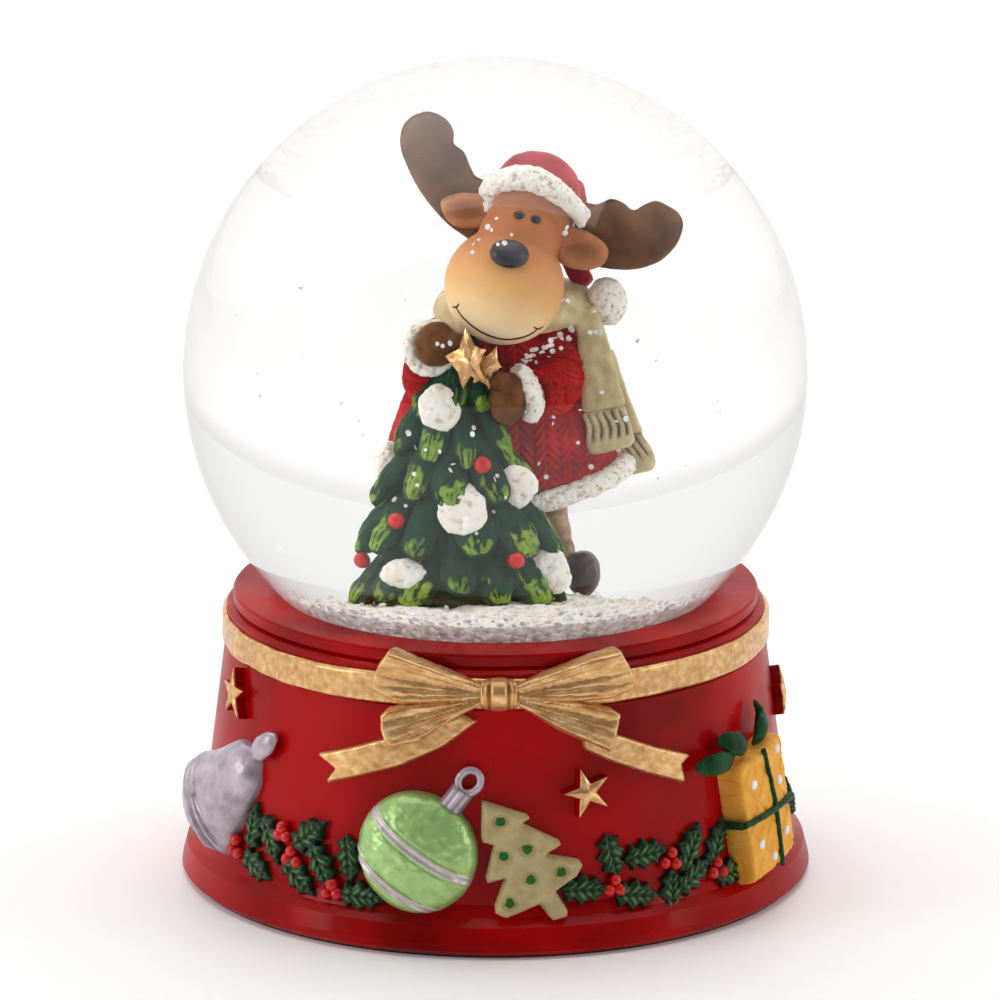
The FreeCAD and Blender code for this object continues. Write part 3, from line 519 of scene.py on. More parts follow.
def red_resin():
    """Base: deep glossy red with slight unevenness of depth and of gloss."""
    material, tree, shader = new_material("red_resin")
    colour = fade(tree, noise_node(tree, 22, 3.0), 0.3, 0.62, rgb(116, 0, 2), rgb(178, 2, 4))
    specks = fade(tree, noise_node(tree, 1.1, 2.0), 0.72, 0.8)
    feed(tree, shader, Base_Color=mix(tree, specks, colour, rgb(200, 18, 20)))
    feed(tree, shader, Roughness=gloss(tree, noise_node(tree, 9, 4.0), 0.3, 0.44))
    settle(shader, Specular_IOR_Level=0.05, Coat_Weight=0.14, Coat_Roughness=0.12)
    bump(tree, shader, [(noise_node(tree, 0.7, 3.0), 0.12), (noise_node(tree, 7.0), 0.5)])
    return material


def gold_paint(name, brush=(1, 1, 1)):
    """Antique gold: bright rubbed highs, brown lows, and brush scratches."""
    material, tree, shader = new_material(name)
    tones = [(0.3, rgb(200, 146, 90)), (0.5, rgb(222, 174, 116)), (0.72, rgb(246, 206, 152))]
    drift = ramp(tree, noise_node(tree, 1.1, 5.0, brush), tones)
    lifted = fade(tree, attribute(tree, "shade"), 0.0, 0.5)
    feed(tree, shader, Base_Color=mix(tree, lifted, rgb(104, 58, 22), drift))
    feed(tree, shader, Roughness=gloss(tree, noise_node(tree, 0.8, 3.0), 0.24, 0.4))
    settle(shader, Metallic=0.72)
    bump(tree, shader, [(noise_node(tree, 0.45, 5.0), 0.22), (noise_node(tree, 1.6, 5.0, brush), 0.2)])
    return material


def stippled(name, high, low, pit=0.75):
    """Fur: off-white stipple with brown specks, and brown in its pits as painted shade."""
    material, tree, shader = new_material(name)
    # pits: painted shade, brown where the fur surface sinks
    pits = fade(tree, attribute(tree, "shade"), 0.12, 0.42, WHITE, BLACK)
    specks = fade(tree, noise_node(tree, pit, 3.0), 0.3, 0.4, WHITE, BLACK)
    feed(tree, shader, Base_Color=mix(tree, specks, mix(tree, pits, high, low), low))
    settle(shader, Roughness=0.7)
    bump(tree, shader, [(noise_node(tree, 0.5, 4.0), 0.8)])
    return material


def moose_paint():
    """Head: red-brown above, tan round the nose, fading to cream under the muzzle."""
    material, tree, shader = new_material("moose_paint")
    x, y, z = place_axes(tree)
    height = scaled(tree, z, 1 / (18 * MM), -88.0 / 18)
    side = scaled(tree, x, 0.020 / MM, height)
    depth = scaled(tree, y, 0.030 / MM, 0.27)
    total = add_node(tree, "ShaderNodeMath", operation="ADD")
    tree.links.new(side, total.inputs[0])
    tree.links.new(depth, total.inputs[1])
    wobble = scaled(tree, noise_node(tree, 3.0, 4.0), 0.14, total.outputs[0])
    colour = ramp(tree, wobble, [
        (0.02, rgb(254, 238, 206)), (0.26, rgb(250, 214, 158)), (0.46, rgb(232, 178, 116)),
        (0.72, rgb(208, 142, 94)), (0.98, rgb(186, 118, 76)),
    ])
    feed(tree, shader, Base_Color=colour)
    settle(shader, Roughness=0.42, Specular_IOR_Level=PAINT_SHEEN)
    bump(tree, shader, [(noise_node(tree, 0.4, 3.0), 0.15), (noise_node(tree, 3.0), 0.3)])
    return material


def frond_paint():
    """Fir: near-black green in the gaps, leaf green on the fronds, lime brushed along their middles."""
    material, tree, shader = new_material("frond_paint")
    base = fade(tree, noise_node(tree, 1.6, 4.0), 0.3, 0.7, rgb(8, 40, 28), rgb(24, 74, 46))
    lime = fade(tree, noise_node(tree, 0.9, 4.0), 0.3, 0.7, rgb(98, 138, 36), rgb(154, 182, 72))
    brushed = fade(tree, attribute(tree, "shade"), 0.3, 0.62)
    feed(tree, shader, Base_Color=mix(tree, brushed, base, lime))
    settle(shader, Roughness=0.5, Specular_IOR_Level=PAINT_SHEEN)
    bump(tree, shader, [(noise_node(tree, 0.35, 4.0), 0.5)])
    return material


def two_tone_and_highlight(name, first, second, roughness, metallic=0.0, grain=0.4, strength=0.3,
             coat=0.0, low=0.45, high=0.55):
    """Two colours side by side, told apart by the shade attribute: two paints on the ornament and the cookie,
    and on the holly a painted highlight against painted shade.
    """
    material, tree, shader = new_material(name)
    drift = noise_node(tree, 2.0, 4.0)
    one = fade(tree, drift, 0.3, 0.7, tuple(0.72 * c for c in first[:3]) + (1,), first)
    two = fade(tree, drift, 0.3, 0.7, tuple(0.8 * c for c in second[:3]) + (1,), second)
    which = fade(tree, attribute(tree, "shade"), low, high)
    feed(tree, shader, Base_Color=mix(tree, which, one, two))
    settle(shader, Roughness=roughness, Metallic=metallic, Specular_IOR_Level=PAINT_SHEEN, Coat_Weight=coat)
    bump(tree, shader, [(noise_node(tree, grain, 4.0), strength), (noise_node(tree, 2.0), strength)])
    return material


def clear(name, ior, tint=WHITE, specular=0.5):
    """Clear glass or liquid that shadow rays pass through."""
    material, tree, shader = new_material(name)
    settle(shader, Base_Color=tint, Roughness=0.0, IOR=ior, Transmission_Weight=1.0)
    settle(shader, Specular_IOR_Level=specular)
    output = tree.nodes["Material Output"]
    ways = add_node(tree, "ShaderNodeLightPath")
    see_through = add_node(tree, "ShaderNodeBsdfTransparent", Color=WHITE)
    either = add_node(tree, "ShaderNodeMixShader")
    tree.links.new(ways.outputs["Is Shadow Ray"], either.inputs[0])
    tree.links.new(shader.outputs[0], either.inputs[1])
    tree.links.new(see_through.outputs[0], either.inputs[2])
    tree.links.new(either.outputs[0], output.inputs["Surface"])
    return material


def metal(name, dark, light, roughness, size=1.5, stretch=(1, 1, 1)):
    """Bare metal with drifting tone and polish."""
    material, tree, shader = new_material(name)
    drift = noise_node(tree, size, 5.0, stretch)
    feed(tree, shader, Base_Color=fade(tree, drift, 0.3, 0.7, dark, light))
    feed(tree, shader, Roughness=gloss(tree, drift, *roughness))
    settle(shader, Metallic=1.0)
    bump(tree, shader, [(drift, 0.25)], 0.05)
    return material


materials = {
    "clear_glass": clear("ball_glass", 1.5, (0.95, 0.95, 0.942, 1)),
    "glass_inside": clear("ball_glass_inside", 1.125, specular=0.25),
    "water": clear("clear_liquid", 1.0, specular=0.0),
    "rubber_black": paint("rubber", rgb(24, 24, 24), rgb(44, 44, 44), 0.7),
    # snow_paint glows faintly: painted light on the snow
    "snow_white": paint("snow_paint", rgb(246, 236, 218), rgb(254, 253, 250),
                        0.75, 3.0, 0.6, 0.8, shade=True, glow=0.08),
    # silver_foil glows: painted light that brightens the flakes, which lie in shade beside the glass
    "flake_silver": paint("silver_foil", rgb(170, 170, 170), rgb(250, 250, 250),
                          0.35, 1.2, 0.4, 0.2, glow=0.3),
    "moose_brown": moose_paint(),
    "antler_brown": paint("antler_paint", rgb(84, 52, 28), rgb(128, 86, 50), 0.5, 4.0, 0.5, 0.35),
    "coat_red": paint("coat_paint", rgb(138, 0, 3), rgb(204, 8, 8), 0.42, 3.0, 0.3, 0.3, shade=True),
    "hat_red": paint("hat_paint", rgb(140, 12, 22), rgb(190, 34, 44), 0.5, 3.0, 0.5, 0.4),
    "fur_white": stippled("fur_paint", rgb(250, 246, 238), rgb(204, 182, 148)),
    "scarf_sage": paint("scarf_paint", rgb(184, 166, 122), rgb(222, 206, 162),
                        0.6, 2.0, 0.3, 0.6, shade=True),
    "mitten_brown": paint("mitten_paint", rgb(84, 48, 20), rgb(126, 78, 38), 0.45, 2.0, 0.3, 0.5),
    "leg_tan": paint("leg_paint", rgb(142, 100, 72), rgb(216, 188, 160), 0.5, 1.6),
    "boot_dark": paint("boot_paint", rgb(34, 22, 19), rgb(60, 42, 36), 0.3, coat=0.3),
    "tree_green": frond_paint(),
    "bauble_red": paint("bauble_paint", rgb(190, 14, 14), rgb(226, 36, 30), 0.25, coat=0.6),
    "antique_gold": gold_paint("antique_gold"),
    "base_red": red_resin(),
    "ornament_green": two_tone_and_highlight("ornament_paint", rgb(180, 220, 138), rgb(222, 212, 208),
                               0.3, 0.4, 0.35, 0.5, 0.45),
    "lilac_silver": paint("lilac_silver", rgb(160, 146, 158), rgb(206, 194, 202),
                          0.34, 3.0, 0.5, 0.4, 0.2, 0.45, True),
    "cookie_khaki": two_tone_and_highlight("cookie_paint", rgb(202, 182, 132), rgb(44, 106, 38), 0.5, 0.0, 0.3, 0.35),
    "gift_orange": paint("gift_paint", rgb(236, 160, 52), rgb(252, 192, 84), 0.5, 3.0, 0.4, 0.5, shade=True),
    "dot_white": paint("dot_paint", rgb(236, 232, 224), rgb(252, 250, 246), 0.5),
    # holly: the lighter green is painted highlight, the dark green painted shade
    "holly_green": two_tone_and_highlight("holly_paint", rgb(18, 54, 26), rgb(88, 140, 60),
                            0.3, 0.0, 0.3, 0.4, 0.35, 0.25, 0.8),
    "ribbon_green": paint("ribbon_green", rgb(14, 52, 28), rgb(30, 82, 44), 0.4),
    "berry_red": paint("berry_paint", rgb(186, 8, 12), rgb(222, 24, 26), 0.2, coat=0.7),
    "bow_gold": gold_paint("bow_gold", (0.35, 1, 1)),
    "ear_tan": paint("ear_paint", rgb(182, 116, 76), rgb(210, 150, 106), 0.5, 3.0, 0.4, 0.3, shade=True),
    "nose_dark": paint("nose_paint", rgb(36, 32, 34), rgb(72, 68, 72), 0.25, coat=0.5),
    "line_brown": paint("mouth_paint", rgb(60, 26, 14), rgb(96, 44, 24), 0.5),
    "cover_black": paint("cover_plastic", rgb(26, 26, 26), rgb(42, 42, 42), 0.5, 4.0, 0.25, 0.4),
    "pad_felt": paint("felt", rgb(30, 30, 32), rgb(60, 60, 62), 0.95, 0.5, 0.2, 1.0),
    "screw_steel": metal("zinc_steel", rgb(150, 150, 154), rgb(196, 196, 200), (0.25, 0.45)),
    "bed_iron": metal("gilt_casting", rgb(132, 112, 70), rgb(170, 148, 98), (0.4, 0.6), 0.6),
    "spring_steel": metal("blued_steel", rgb(62, 70, 92), rgb(96, 104, 128), (0.25, 0.4)),
    "brass": metal("brass", rgb(178, 140, 66), rgb(222, 186, 104), (0.2, 0.4), 2.0),
    "comb_steel": metal("ground_steel", rgb(150, 152, 156), rgb(204, 206, 210), (0.2, 0.4), 0.8, (0.1, 1, 1)),
    "nylon_white": paint("nylon", rgb(222, 220, 212), rgb(238, 236, 230), 0.45),
}


def piece(name, form, look, replaces=(), body="base", smooth=True, shade=None):
    """Mesh object in the frame, with its paint, its body and the nodes that it stands for."""
    mesh = as_mesh(form[:2], name, MM)
    if smooth:
        mesh.shade_smooth()
    mesh.materials.append(materials[look])
    if shade is None and len(form) > 2:
        shade = form[2]
    values = np.ones(len(mesh.vertices)) if shade is None else shade
    mesh.attributes.new("shade", "FLOAT", "POINT").data.foreach_set("value", np.asarray(values, np.float32))
    thing = bpy.data.objects.new(name, mesh)
    bpy.context.scene.collection.objects.link(thing)
    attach(thing, body)
    if replaces:
        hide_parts(*replaces)
    return thing


def join_shaded(forms):
    """Several (points, faces, shade) forms as one."""
    points, faces = join([form[:2] for form in forms])
    return points, faces, np.concatenate([form[2] for form in forms])


# ------------------------------------------------------------------ ball, liquid and snow

def sphere_angle(radius, sphere_r):
    """Degrees below the equator at which a sphere has this radius from the axis."""
    return -math.degrees(math.acos(radius / sphere_r))


def add_ball():
    neck_inner = NECK_R - BALL_WALL
    inner_r = BALL_R - BALL_WALL
    outer = arc((0, BALL_Z), BALL_R, sphere_angle(NECK_R, BALL_R), 90, 130)
    outer[-1] = (0, outer[-1][1])
    inner = arc((0, BALL_Z), inner_r, 90, sphere_angle(neck_inner, inner_r), 130)
    inner[0] = (0, inner[0][1])
    form = lathe([(NECK_R, NECK_LOW_Z)] + outer + inner + [(neck_inner, NECK_LOW_Z)])
    glass = piece("glass_ball", form, "clear_glass", replaces=["glass_globe"])
    glass.data.materials.append(materials["glass_inside"])
    for face in glass.data.polygons:
        centre = face.center / MM
        from_middle = (centre - Vector((0, 0, BALL_Z))).length
        face.material_index = int(from_middle < inner_r + 0.6 and centre.z > NECK_LOW_Z + 0.1)


def snow_height(radius):
    """Smooth top of the snow, before its lumps."""
    edge = 35.1
    rise = SNOW_TOP_Z - SNOW_EDGE_Z
    dome = (edge ** 2 + rise ** 2) / (2 * rise)
    return SNOW_TOP_Z - dome + np.sqrt(dome ** 2 - np.minimum(radius, edge) ** 2)


def add_liquid():
    liquid_r = BALL_R - BALL_WALL - 0.35
    low_z = SNOW_EDGE_Z - 0.3
    low_r = math.sqrt(liquid_r ** 2 - (BALL_Z - low_z) ** 2)
    side = arc((0, BALL_Z), liquid_r, sphere_angle(low_r, liquid_r), 90, 90)
    side[-1] = (0, side[-1][1])
    piece("liquid", lathe([(0, low_z)] + side, 128, False), "water", replaces=["liquid_fill"])


def lumpy_top(points):
    """Snow surface height at (x, y) points."""
    radius = np.linalg.norm(points[:, :2], axis=1)
    flat = np.column_stack([points[:, :2], np.zeros(len(points))])
    fade = np.clip((35.0 - radius) / 5.0, 0.15, 1)
    lumps = field(flat, 6.0, 3.0) * 0.7 + field(flat, 1.1, 9.0) * 0.28 + field(flat, 0.5, 5.0) * 0.1
    return snow_height(radius) + lumps * fade


def add_snow():
    snow_r = BALL_R - BALL_WALL - 0.75
    low_z = 46.4
    low_r = math.sqrt(snow_r ** 2 - (BALL_Z - low_z) ** 2)
    edge_r = math.sqrt(snow_r ** 2 - (BALL_Z - SNOW_EDGE_Z - 0.1) ** 2)
    top = [(r, float(snow_height(r))) for r in np.linspace(0, edge_r, 120)]
    side = arc((0, BALL_Z), snow_r, sphere_angle(edge_r, snow_r), sphere_angle(low_r, snow_r), 14)
    points, faces = lathe(list(reversed(top + side[1:] + [(0, low_z)])), 300, False)
    radius = np.linalg.norm(points[:, :2], axis=1)
    upper = points[:, 2] > snow_height(radius) - 0.02
    upper &= radius < edge_r - 0.05
    points[upper, 2] = lumpy_top(points[upper])
    grains = field(points, 0.8, 4.0)
    piece("snow", (points, faces, 0.55 + 0.5 * grains), "snow_white", replaces=["snow_mound"])


def flake(centre, normal, size, spin):
    """Thin six-sided flake."""
    side = Vector(normal).normalized()
    across = side.orthogonal().normalized()
    beside = side.cross(across)
    points = []
    for lift in (-0.04, 0.04):
        for k in range(6):
            angle = math.radians(60 * k + spin)
            way = across * math.cos(angle) + beside * math.sin(angle)
            points.append(Vector(centre) + way * size + side * lift)
    faces = [(5, 4, 3, 2, 1, 0), (6, 7, 8, 9, 10, 11)]
    faces += [(k, (k + 1) % 6, 6 + (k + 1) % 6, 6 + k) for k in range(6)]
    return np.array(points), faces


def tilted(normal, amount):
    return Vector(normal) + Vector(rng.normal(0, amount, 3))


def flakes_on_snow():
    out = []
    for i in range(620):
        angle = rng.uniform(0, 2 * math.pi)
        near_glass = i % 2
        radius = rng.uniform(29, 34.4) if near_glass else 34 * math.sqrt(rng.uniform(0.05, 1))
        place = np.array([[radius * math.cos(angle), radius * math.sin(angle), 0]])
        place[0, 2] = lumpy_top(place)[0] + rng.uniform(0.05, 0.3) + near_glass * rng.uniform(0, 0.7)
        out.append(flake(place[0], tilted((0, 0, 1), 0.5), rng.uniform(0.32, 0.62), rng.uniform(0, 60)))
    return out


def flakes_on_glass():
    """Flakes lying low against the inside of the ball, thickest beside the snow."""
    out = []
    stay_r = BALL_R - BALL_WALL - 0.5
    for i in range(1800):
        angle = rng.uniform(0, 2 * math.pi)
        z = SNOW_EDGE_Z + abs(rng.normal(0, 1.1)) if i % 6 == 0 else rng.uniform(46.6, SNOW_EDGE_Z + 0.3)
        radius = math.sqrt(stay_r ** 2 - (BALL_Z - z) ** 2) - rng.uniform(0, 0.2)
        centre = Vector((radius * math.cos(angle), radius * math.sin(angle), z))
        normal = centre - Vector((0, 0, BALL_Z))
        facing_in = tilted(normal.normalized(), 0.12)
        out.append(flake(centre, facing_in, rng.uniform(0.3, 0.6), rng.uniform(0, 60)))
    return out


def flakes_afloat():
    out = []
    for _ in range(34):
        way = Vector(rng.normal(0, 1, 3)).normalized()
        centre = way * 43 * rng.uniform(0.2, 1) ** 0.4
        centre.z = abs(centre.z) * 0.9 - 18
        out.append(flake(centre + Vector((0, 0, BALL_Z)), tilted(way, 0.6), rng.uniform(0.18, 0.3), 0))
    return out


def flakes_on_figure(skin):
    """Flakes caught over the muzzle, along the collar, on the hat, the scarf and the tree."""
    spots = [((-2.4 + 0.8 * k, 102.4 + 0.3 * math.sin(k)), (0.25, 0.18), 1) for k in range(7)]
    spots += [((3.4 + 0.6 * k, 84.6 + 0.34 * k), (0.3, 0.4), 3) for k in range(11)]
    spots += [
        ((-2.6, 101.0), (0.8, 0.3), 3), ((9.6, 101.4), (0.8, 0.3), 4), ((-0.6, 105.0), (0.4, 0.9), 5),
        ((8.8, 93.0), (0.3, 0.5), 4), ((12.2, 88.0), (0.4, 0.3), 3), ((12.4, 82.0), (0.5, 0.5), 1),
        ((15.6, 77.0), (0.3, 0.3), 2), ((7.0, 75.0), (2.5, 3.0), 2),
        ((-5.0, 72.0), (5.5, 7.0), 22), ((-6.0, 89.0), (1.5, 0.8), 3),
    ]
    out = []
    for (x, z), (wide, tall), count in spots:
        for _ in range(count):
            place, normal = seen(skin, x + rng.normal(0, wide), z + rng.normal(0, tall))
            if place is not None:
                lifted = place + normal * rng.uniform(0.05, 0.2)
                out.append(flake(lifted, tilted(normal, 0.3), rng.uniform(0.24, 0.44), rng.uniform(0, 60)))
    return out


HEAD_TILT = 14.0


def head_form():
    muzzle = ball((1.1, -6.3, 94.9), (7.6, 7.6, 7.5), sides=64, rings=40)
    skull = ball((4.2, 1.2, 102.1), (5.75, 6.3, 6.6), HEAD_TILT, 64, 40)
    bridge = ball((2.9, -3.6, 100.0), (5.2, 5.6, 5.6), HEAD_TILT, 64, 40)
    return melt([muzzle, skull, bridge], 0.25, 3)


def add_head():
    """Head with its nose, eyes and mouth line, which follow the skin."""
    head = head_form()
    skin = BVHTree.FromPolygons(*[as_list(part) for part in head])
    piece("moose_head_skin", head, "moose_brown", replaces=["moose_head"])
    nose_place, nose_normal = seen(skin, 1.8, 100.6)
    nose = ball((0, 0, 0), (2.6, 1.3, 2.1), 8, 40, 24)
    points = nose[0] @ facing(nose_normal).T + np.array(nose_place + nose_normal * 0.25)
    piece("moose_nose", (points, nose[1]), "nose_dark")
    eyes = []
    for x, z in ((3.05, 104.6), (5.2, 104.0)):
        place, normal = seen(skin, x, z)
        eye = ball((0, 0, 0), (0.72, 0.4, 0.62), 10, 24, 14)
        eyes.append((eye[0] @ facing(normal).T + np.array(place + normal * 0.1), eye[1]))
    piece("moose_eyes", join(eyes), "nose_dark")
    smile = [
        (-5.06, 93.24), (-4.03, 91.89), (-1.77, 90.23), (0.94, 89.23), (3.18, 89.33), (4.62, 89.82),
        (5.44, 90.48),
    ]
    lines = [drawn(skin, smile, 0.17), drawn(skin, [(-5.5, 93.0), (-5.0, 93.3), (-4.7, 93.9)], 0.13)]
    lines.append(drawn(skin, [(4.9, 90.9), (5.4, 90.4), (6.1, 90.5)], 0.13))
    piece("moose_smile", join(lines), "line_brown")
    return head


def as_list(part):
    return [tuple(map(float, row)) for row in part] if isinstance(part, np.ndarray) else list(part)


def seen(skin, x, z):
    """Front-most skin at an (x, z)."""
    place, normal, _, _ = skin.ray_cast(Vector((x, -45, z)), Vector((0, 1, 0)))
    return place, normal


def facing(normal):
    """Rotation that turns -Y to face along a normal."""
    return np.array(Vector((0, -1, 0)).rotation_difference(Vector(normal)).to_matrix())


def drawn(skin, line, radius):
    """Thin painted line lying on the skin."""
    stations = []
    for x, z in smooth_path(line, 24):
        place, normal = seen(skin, x, z)
        thin = radius * (0.45 + 0.55 * math.sin(math.pi * (len(stations) + 0.8) / 25))
        stations.append((*(place + normal * 0.02), thin))
    return cord_form(stations, 60, 8)


def add_antlers():
    left = [
        (-2.0, 97.6), (-3.6, 98.9), (-6.2, 101.0), (-9.2, 104.8), (-11.3, 109.0), (-12.3, 112.3),
        (-12.0, 115.3), (-10.3, 117.0), (-8.2, 117.1), (-6.4, 115.8), (-5.4, 113.8), (-5.3, 111.9),
        (-4.0, 110.6), (-3.1, 108.3), (-2.4, 107.0), (-0.5, 105.5), (-0.8, 101.5),
    ]
    right = [
        (9.5, 103.0), (12.7, 103.4), (14.4, 104.1), (15.9, 103.7), (17.2, 102.7), (18.7, 103.5),
        (20.3, 104.1), (21.7, 103.5), (23.1, 102.6), (23.6, 100.9), (22.5, 98.2), (20.4, 96.1),
        (17.7, 95.0), (15.1, 94.8), (12.3, 95.3), (9.2, 97.2),
    ]
    for name, outline, node in (("antler_l", left, "antler_left"), ("antler_r", right, "antler_right")):
        points, faces = puff(outline, 1.0, 3.2, 2.3, 0.35)
        swell = field(points, 4.0, 2.0) * 0.3
        points[:, 1] += swell * np.sign(points[:, 1] - 1.0)
        piece(name, (points, faces), "antler_brown", replaces=[node])


def add_ears():
    left = [
        (-6.9, 104.0), (-6.3, 105.2), (-3.6, 105.6), (0.2, 104.6), (0.4, 102.4), (-1.4, 100.9),
        (-4.2, 100.9), (-6.1, 102.0),
    ]
    right = [
        (7.6, 100.9), (10.4, 100.9), (13.0, 99.6), (14.1, 98.0), (13.3, 96.2), (11.2, 95.4),
        (8.4, 95.9), (7.2, 97.6),
    ]
    forms = []
    for outline, y_middle, slope in ((left, -1.0, 0.14), (right, -1.2, -0.1)):
        points, faces = puff(outline, y_middle, 2.4, 1.5, 0.3)
        middle = np.mean(outline, axis=0)
        reach = np.hypot((points[:, 0] - middle[0]) / 3.0, (points[:, 2] - middle[1]) / 1.6)
        hollow = 0.75 * np.exp(-reach ** 4) * (points[:, 1] < y_middle)
        points[:, 1] += hollow + slope * (points[:, 0] - middle[0])
        # the hollow gets a low shade value: painted shade inside the ear
        forms.append((points, faces, 1 - 0.9 * np.clip(hollow, 0, 1)))
    piece("moose_ear_pair", join_shaded(forms), "ear_tan", replaces=["moose_ears"])


def furry(form, seed, bumps=0.36, size=1.0):
    """Lumpy fur, with its pits given low shade values, which the fur paint turns brown as painted shade."""
    points, faces = form
    grain = field(points, size, seed) * 0.6 + field(points, size * 0.45, seed + 5) * 0.4
    return raised(form, grain * bumps), faces, np.clip(0.62 + grain * 1.1, 0, 1)


def ring_at(centre, radii, lean, roll, radius, count, start=0, end=360):
    """Stations of an oval ring, leaned back about X and rolled about Y."""
    turn = rotation((0, 1, 0), roll) @ rotation((1, 0, 0), lean)
    stations = []
    for angle in np.radians(np.linspace(start, end, count, endpoint=end - start < 360)):
        flat = np.array([radii[0] * math.cos(angle), radii[1] * math.sin(angle), 0])
        stations.append((*(turn @ flat + np.array(centre)), radius))
    return stations


HAT_BAND = (
    (-1.0, 0.5, 104.9, 1.3), (0.2, -1.7, 107.3, 1.5), (2.9, -3.1, 108.6, 1.7), (5.6, -3.5, 108.3, 1.75),
    (8.3, -3.5, 106.5, 1.5), (10.3, -2.3, 103.8, 1.2), (10.6, 0.6, 102.0, 1.2), (8.8, 5.2, 101.3, 1.4),
    (3.8, 7.3, 102.8, 1.5), (-0.8, 4.8, 104.4, 1.4),
)


def add_hat():
    dome = ball((5.0, 2.2, 104.0), (5.5, 5.3, 5.8), HEAD_TILT, 48, 30)
    tail = [(8.0, 4.4, 104.0, 3.0), (9.0, 5.0, 99.5, 2.3), (9.4, 4.2, 95.0, 1.6), (10.8, 2.6, 92.4, 1.2)]
    form = rough(melt([dome, cord_form(tail, 40, 20)], 0.28, 4), 3.0, 0.22, 6.0)
    piece("hat_cloth", form, "hat_red", replaces=["hat"])
    band = cord_form(HAT_BAND, 90, 20, True)
    drip = [ball((-0.7, -0.7, 104.2), (1.1, 1.2, 1.6)), ball((10.6, -1.2, 102.2), (0.9, 1.0, 1.2))]
    piece("hat_fur", furry(melt([band] + drip, 0.22, 2), 12.0), "fur_white", replaces=["hat_band"])
    pompom = furry(melt([ball((13.6, 0.0, 91.0), (2.5, 2.4, 3.0), 0, 40, 26)], 0.2, 1), 21.0, 0.26, 0.8)
    piece("hat_ball", pompom, "fur_white", replaces=["hat_pompom"])


def stitch(u, v, wide=3.3, tall=1.15):
    """Cable knit height, 0 to 1: columns of leaf-shaped stitches that meet in a V."""
    across = np.abs(u / wide - np.floor(u / wide) - 0.5) * 2
    row = (v / tall) - across * 1.5
    leaf = np.sin(math.pi * (row - np.floor(row))) ** 0.6
    return leaf * np.clip(np.sin(math.pi * np.clip(across, 0.02, 0.98)), 0, 1) ** 0.35


def near_line(points, line):
    """(distance, length along) from points to a path."""
    path = smooth_path(line, 60)[:, :3]
    run = np.concatenate([[0], np.cumsum(np.linalg.norm(np.diff(path, axis=0), axis=1))])
    gaps = np.linalg.norm(points[:, None, :] - path[None, :, :], axis=2)
    nearest = gaps.argmin(axis=1)
    return gaps[np.arange(len(points)), nearest], run[nearest], path[nearest]


COAT_BODY = [
    (0.6, 2.5, 66.6, 14.0, 9.0), (0.7, 2.5, 72.5, 13.3, 8.9), (0.8, 2.5, 77.0, 12.0, 8.4),
    (1.0, 2.4, 82.0, 10.2, 7.8), (1.4, 2.2, 86.5, 8.8, 7.0), (1.6, 2.0, 90.5, 6.6, 5.6),
    (1.8, 2.0, 93.0, 5.0, 4.4),
]
LEFT_SLEEVE = [
    (-5.0, 0.8, 87.0, 3.0), (-7.8, -2.2, 83.0, 3.2), (-8.4, -5.6, 82.8, 3.0), (-8.8, -8.0, 85.8, 2.6),
]
RIGHT_SLEEVE = [(6.2, 0.4, 87.6, 3.4), (7.4, -2.6, 83.6, 3.5), (6.9, -5.6, 81.3, 3.3), (4.6, -8.2, 81.2, 2.9)]
HEM = (
    (5.9, -6.0, 67.3), (9.1, -5.0, 68.1), (12.4, -3.0, 69.1), (14.7, 0.0, 70.1), (15.0, 3.5, 70.6),
    (12.6, 8.0, 70.3), (7.0, 10.8, 69.9), (0.7, 11.7, 69.8), (-7.0, 10.2, 70.0), (-11.8, 6.5, 70.6),
    (-13.0, 1.6, 71.0), (-10.8, -3.0, 69.5), (-5.5, -6.0, 67.6), (0.5, -6.6, 67.0),
)


def around(points):
    """Angle about the coat's axis, from its back through its right side."""
    return np.degrees(np.arctan2(points[:, 0] - 0.8, points[:, 1] - 2.5))


def hem_height(points):
    line = smooth_path(HEM, 120, True)
    angle = around(line)
    order = np.argsort(angle)
    return np.interp(around(points), angle[order], line[order, 2], period=360)


def add_coat():
    body = strip(COAT_BODY, count=60, sides=56)
    sleeves = [cord_form(line, 50, 28) for line in (LEFT_SLEEVE, RIGHT_SLEEVE)]
    points, faces = melt([body] + sleeves, 0.2, 5)
    angle = np.arctan2(points[:, 0] - 0.8, -(points[:, 1] - 2.5) * 1.5)
    knit = stitch(angle * 12.5 + 1.2, points[:, 2])
    for line in (LEFT_SLEEVE, RIGHT_SLEEVE):
        gap, along, centre = near_line(points, line)
        arm = gap < 4.3
        off = points - centre
        girth = np.arctan2(off[:, 2], off[:, 1]) * 3.4
        knit[arm] = stitch(along + 0.4, girth, 2.6, 1.1)[arm]
    knit += field(points, 1.0, 8.0) * 0.12
    lifted = raised((points, faces), (knit - 0.6) * 0.42)
    lifted[:, 2] = np.maximum(lifted[:, 2], hem_height(lifted) - 0.2)
    # the shade is low between the stitches: painted shade in the knit's hollows
    piece("coat_knit", (lifted, faces, np.clip(0.12 + knit * 0.8, 0, 1)), "coat_red", replaces=["coat"])


def add_fur_trim():
    hem = cord_form([(*row, 1.3) for row in HEM], 160, 16, True)
    edge_line = [
        (-12.4, 0.0, 73.6, 1.0), (-12.9, -0.4, 70.5, 1.5), (-12.8, -1.0, 67.0, 1.5),
        (-12.4, -1.4, 64.6, 1.0),
    ]
    edge = cord_form(edge_line, 40, 16)
    left = cord_form(ring_at((-8.4, -9.4, 87.6), (2.6, 2.8), 72, -16, 0.95, 10), 60, 14, True)
    right = strip([
        (2.6, -9.6, 84.8, 1.0, 1.6), (4.1, -9.2, 82.8, 1.35, 2.7), (4.9, -8.9, 80.4, 1.4, 3.0),
        (4.3, -9.2, 78.0, 1.0, 1.8),
    ], count=30)
    form = melt([hem, edge, left, right], 0.22, 2)
    piece("coat_fur", furry(form, 31.0, 0.34, 0.9), "fur_white", replaces=["coat_trim"])


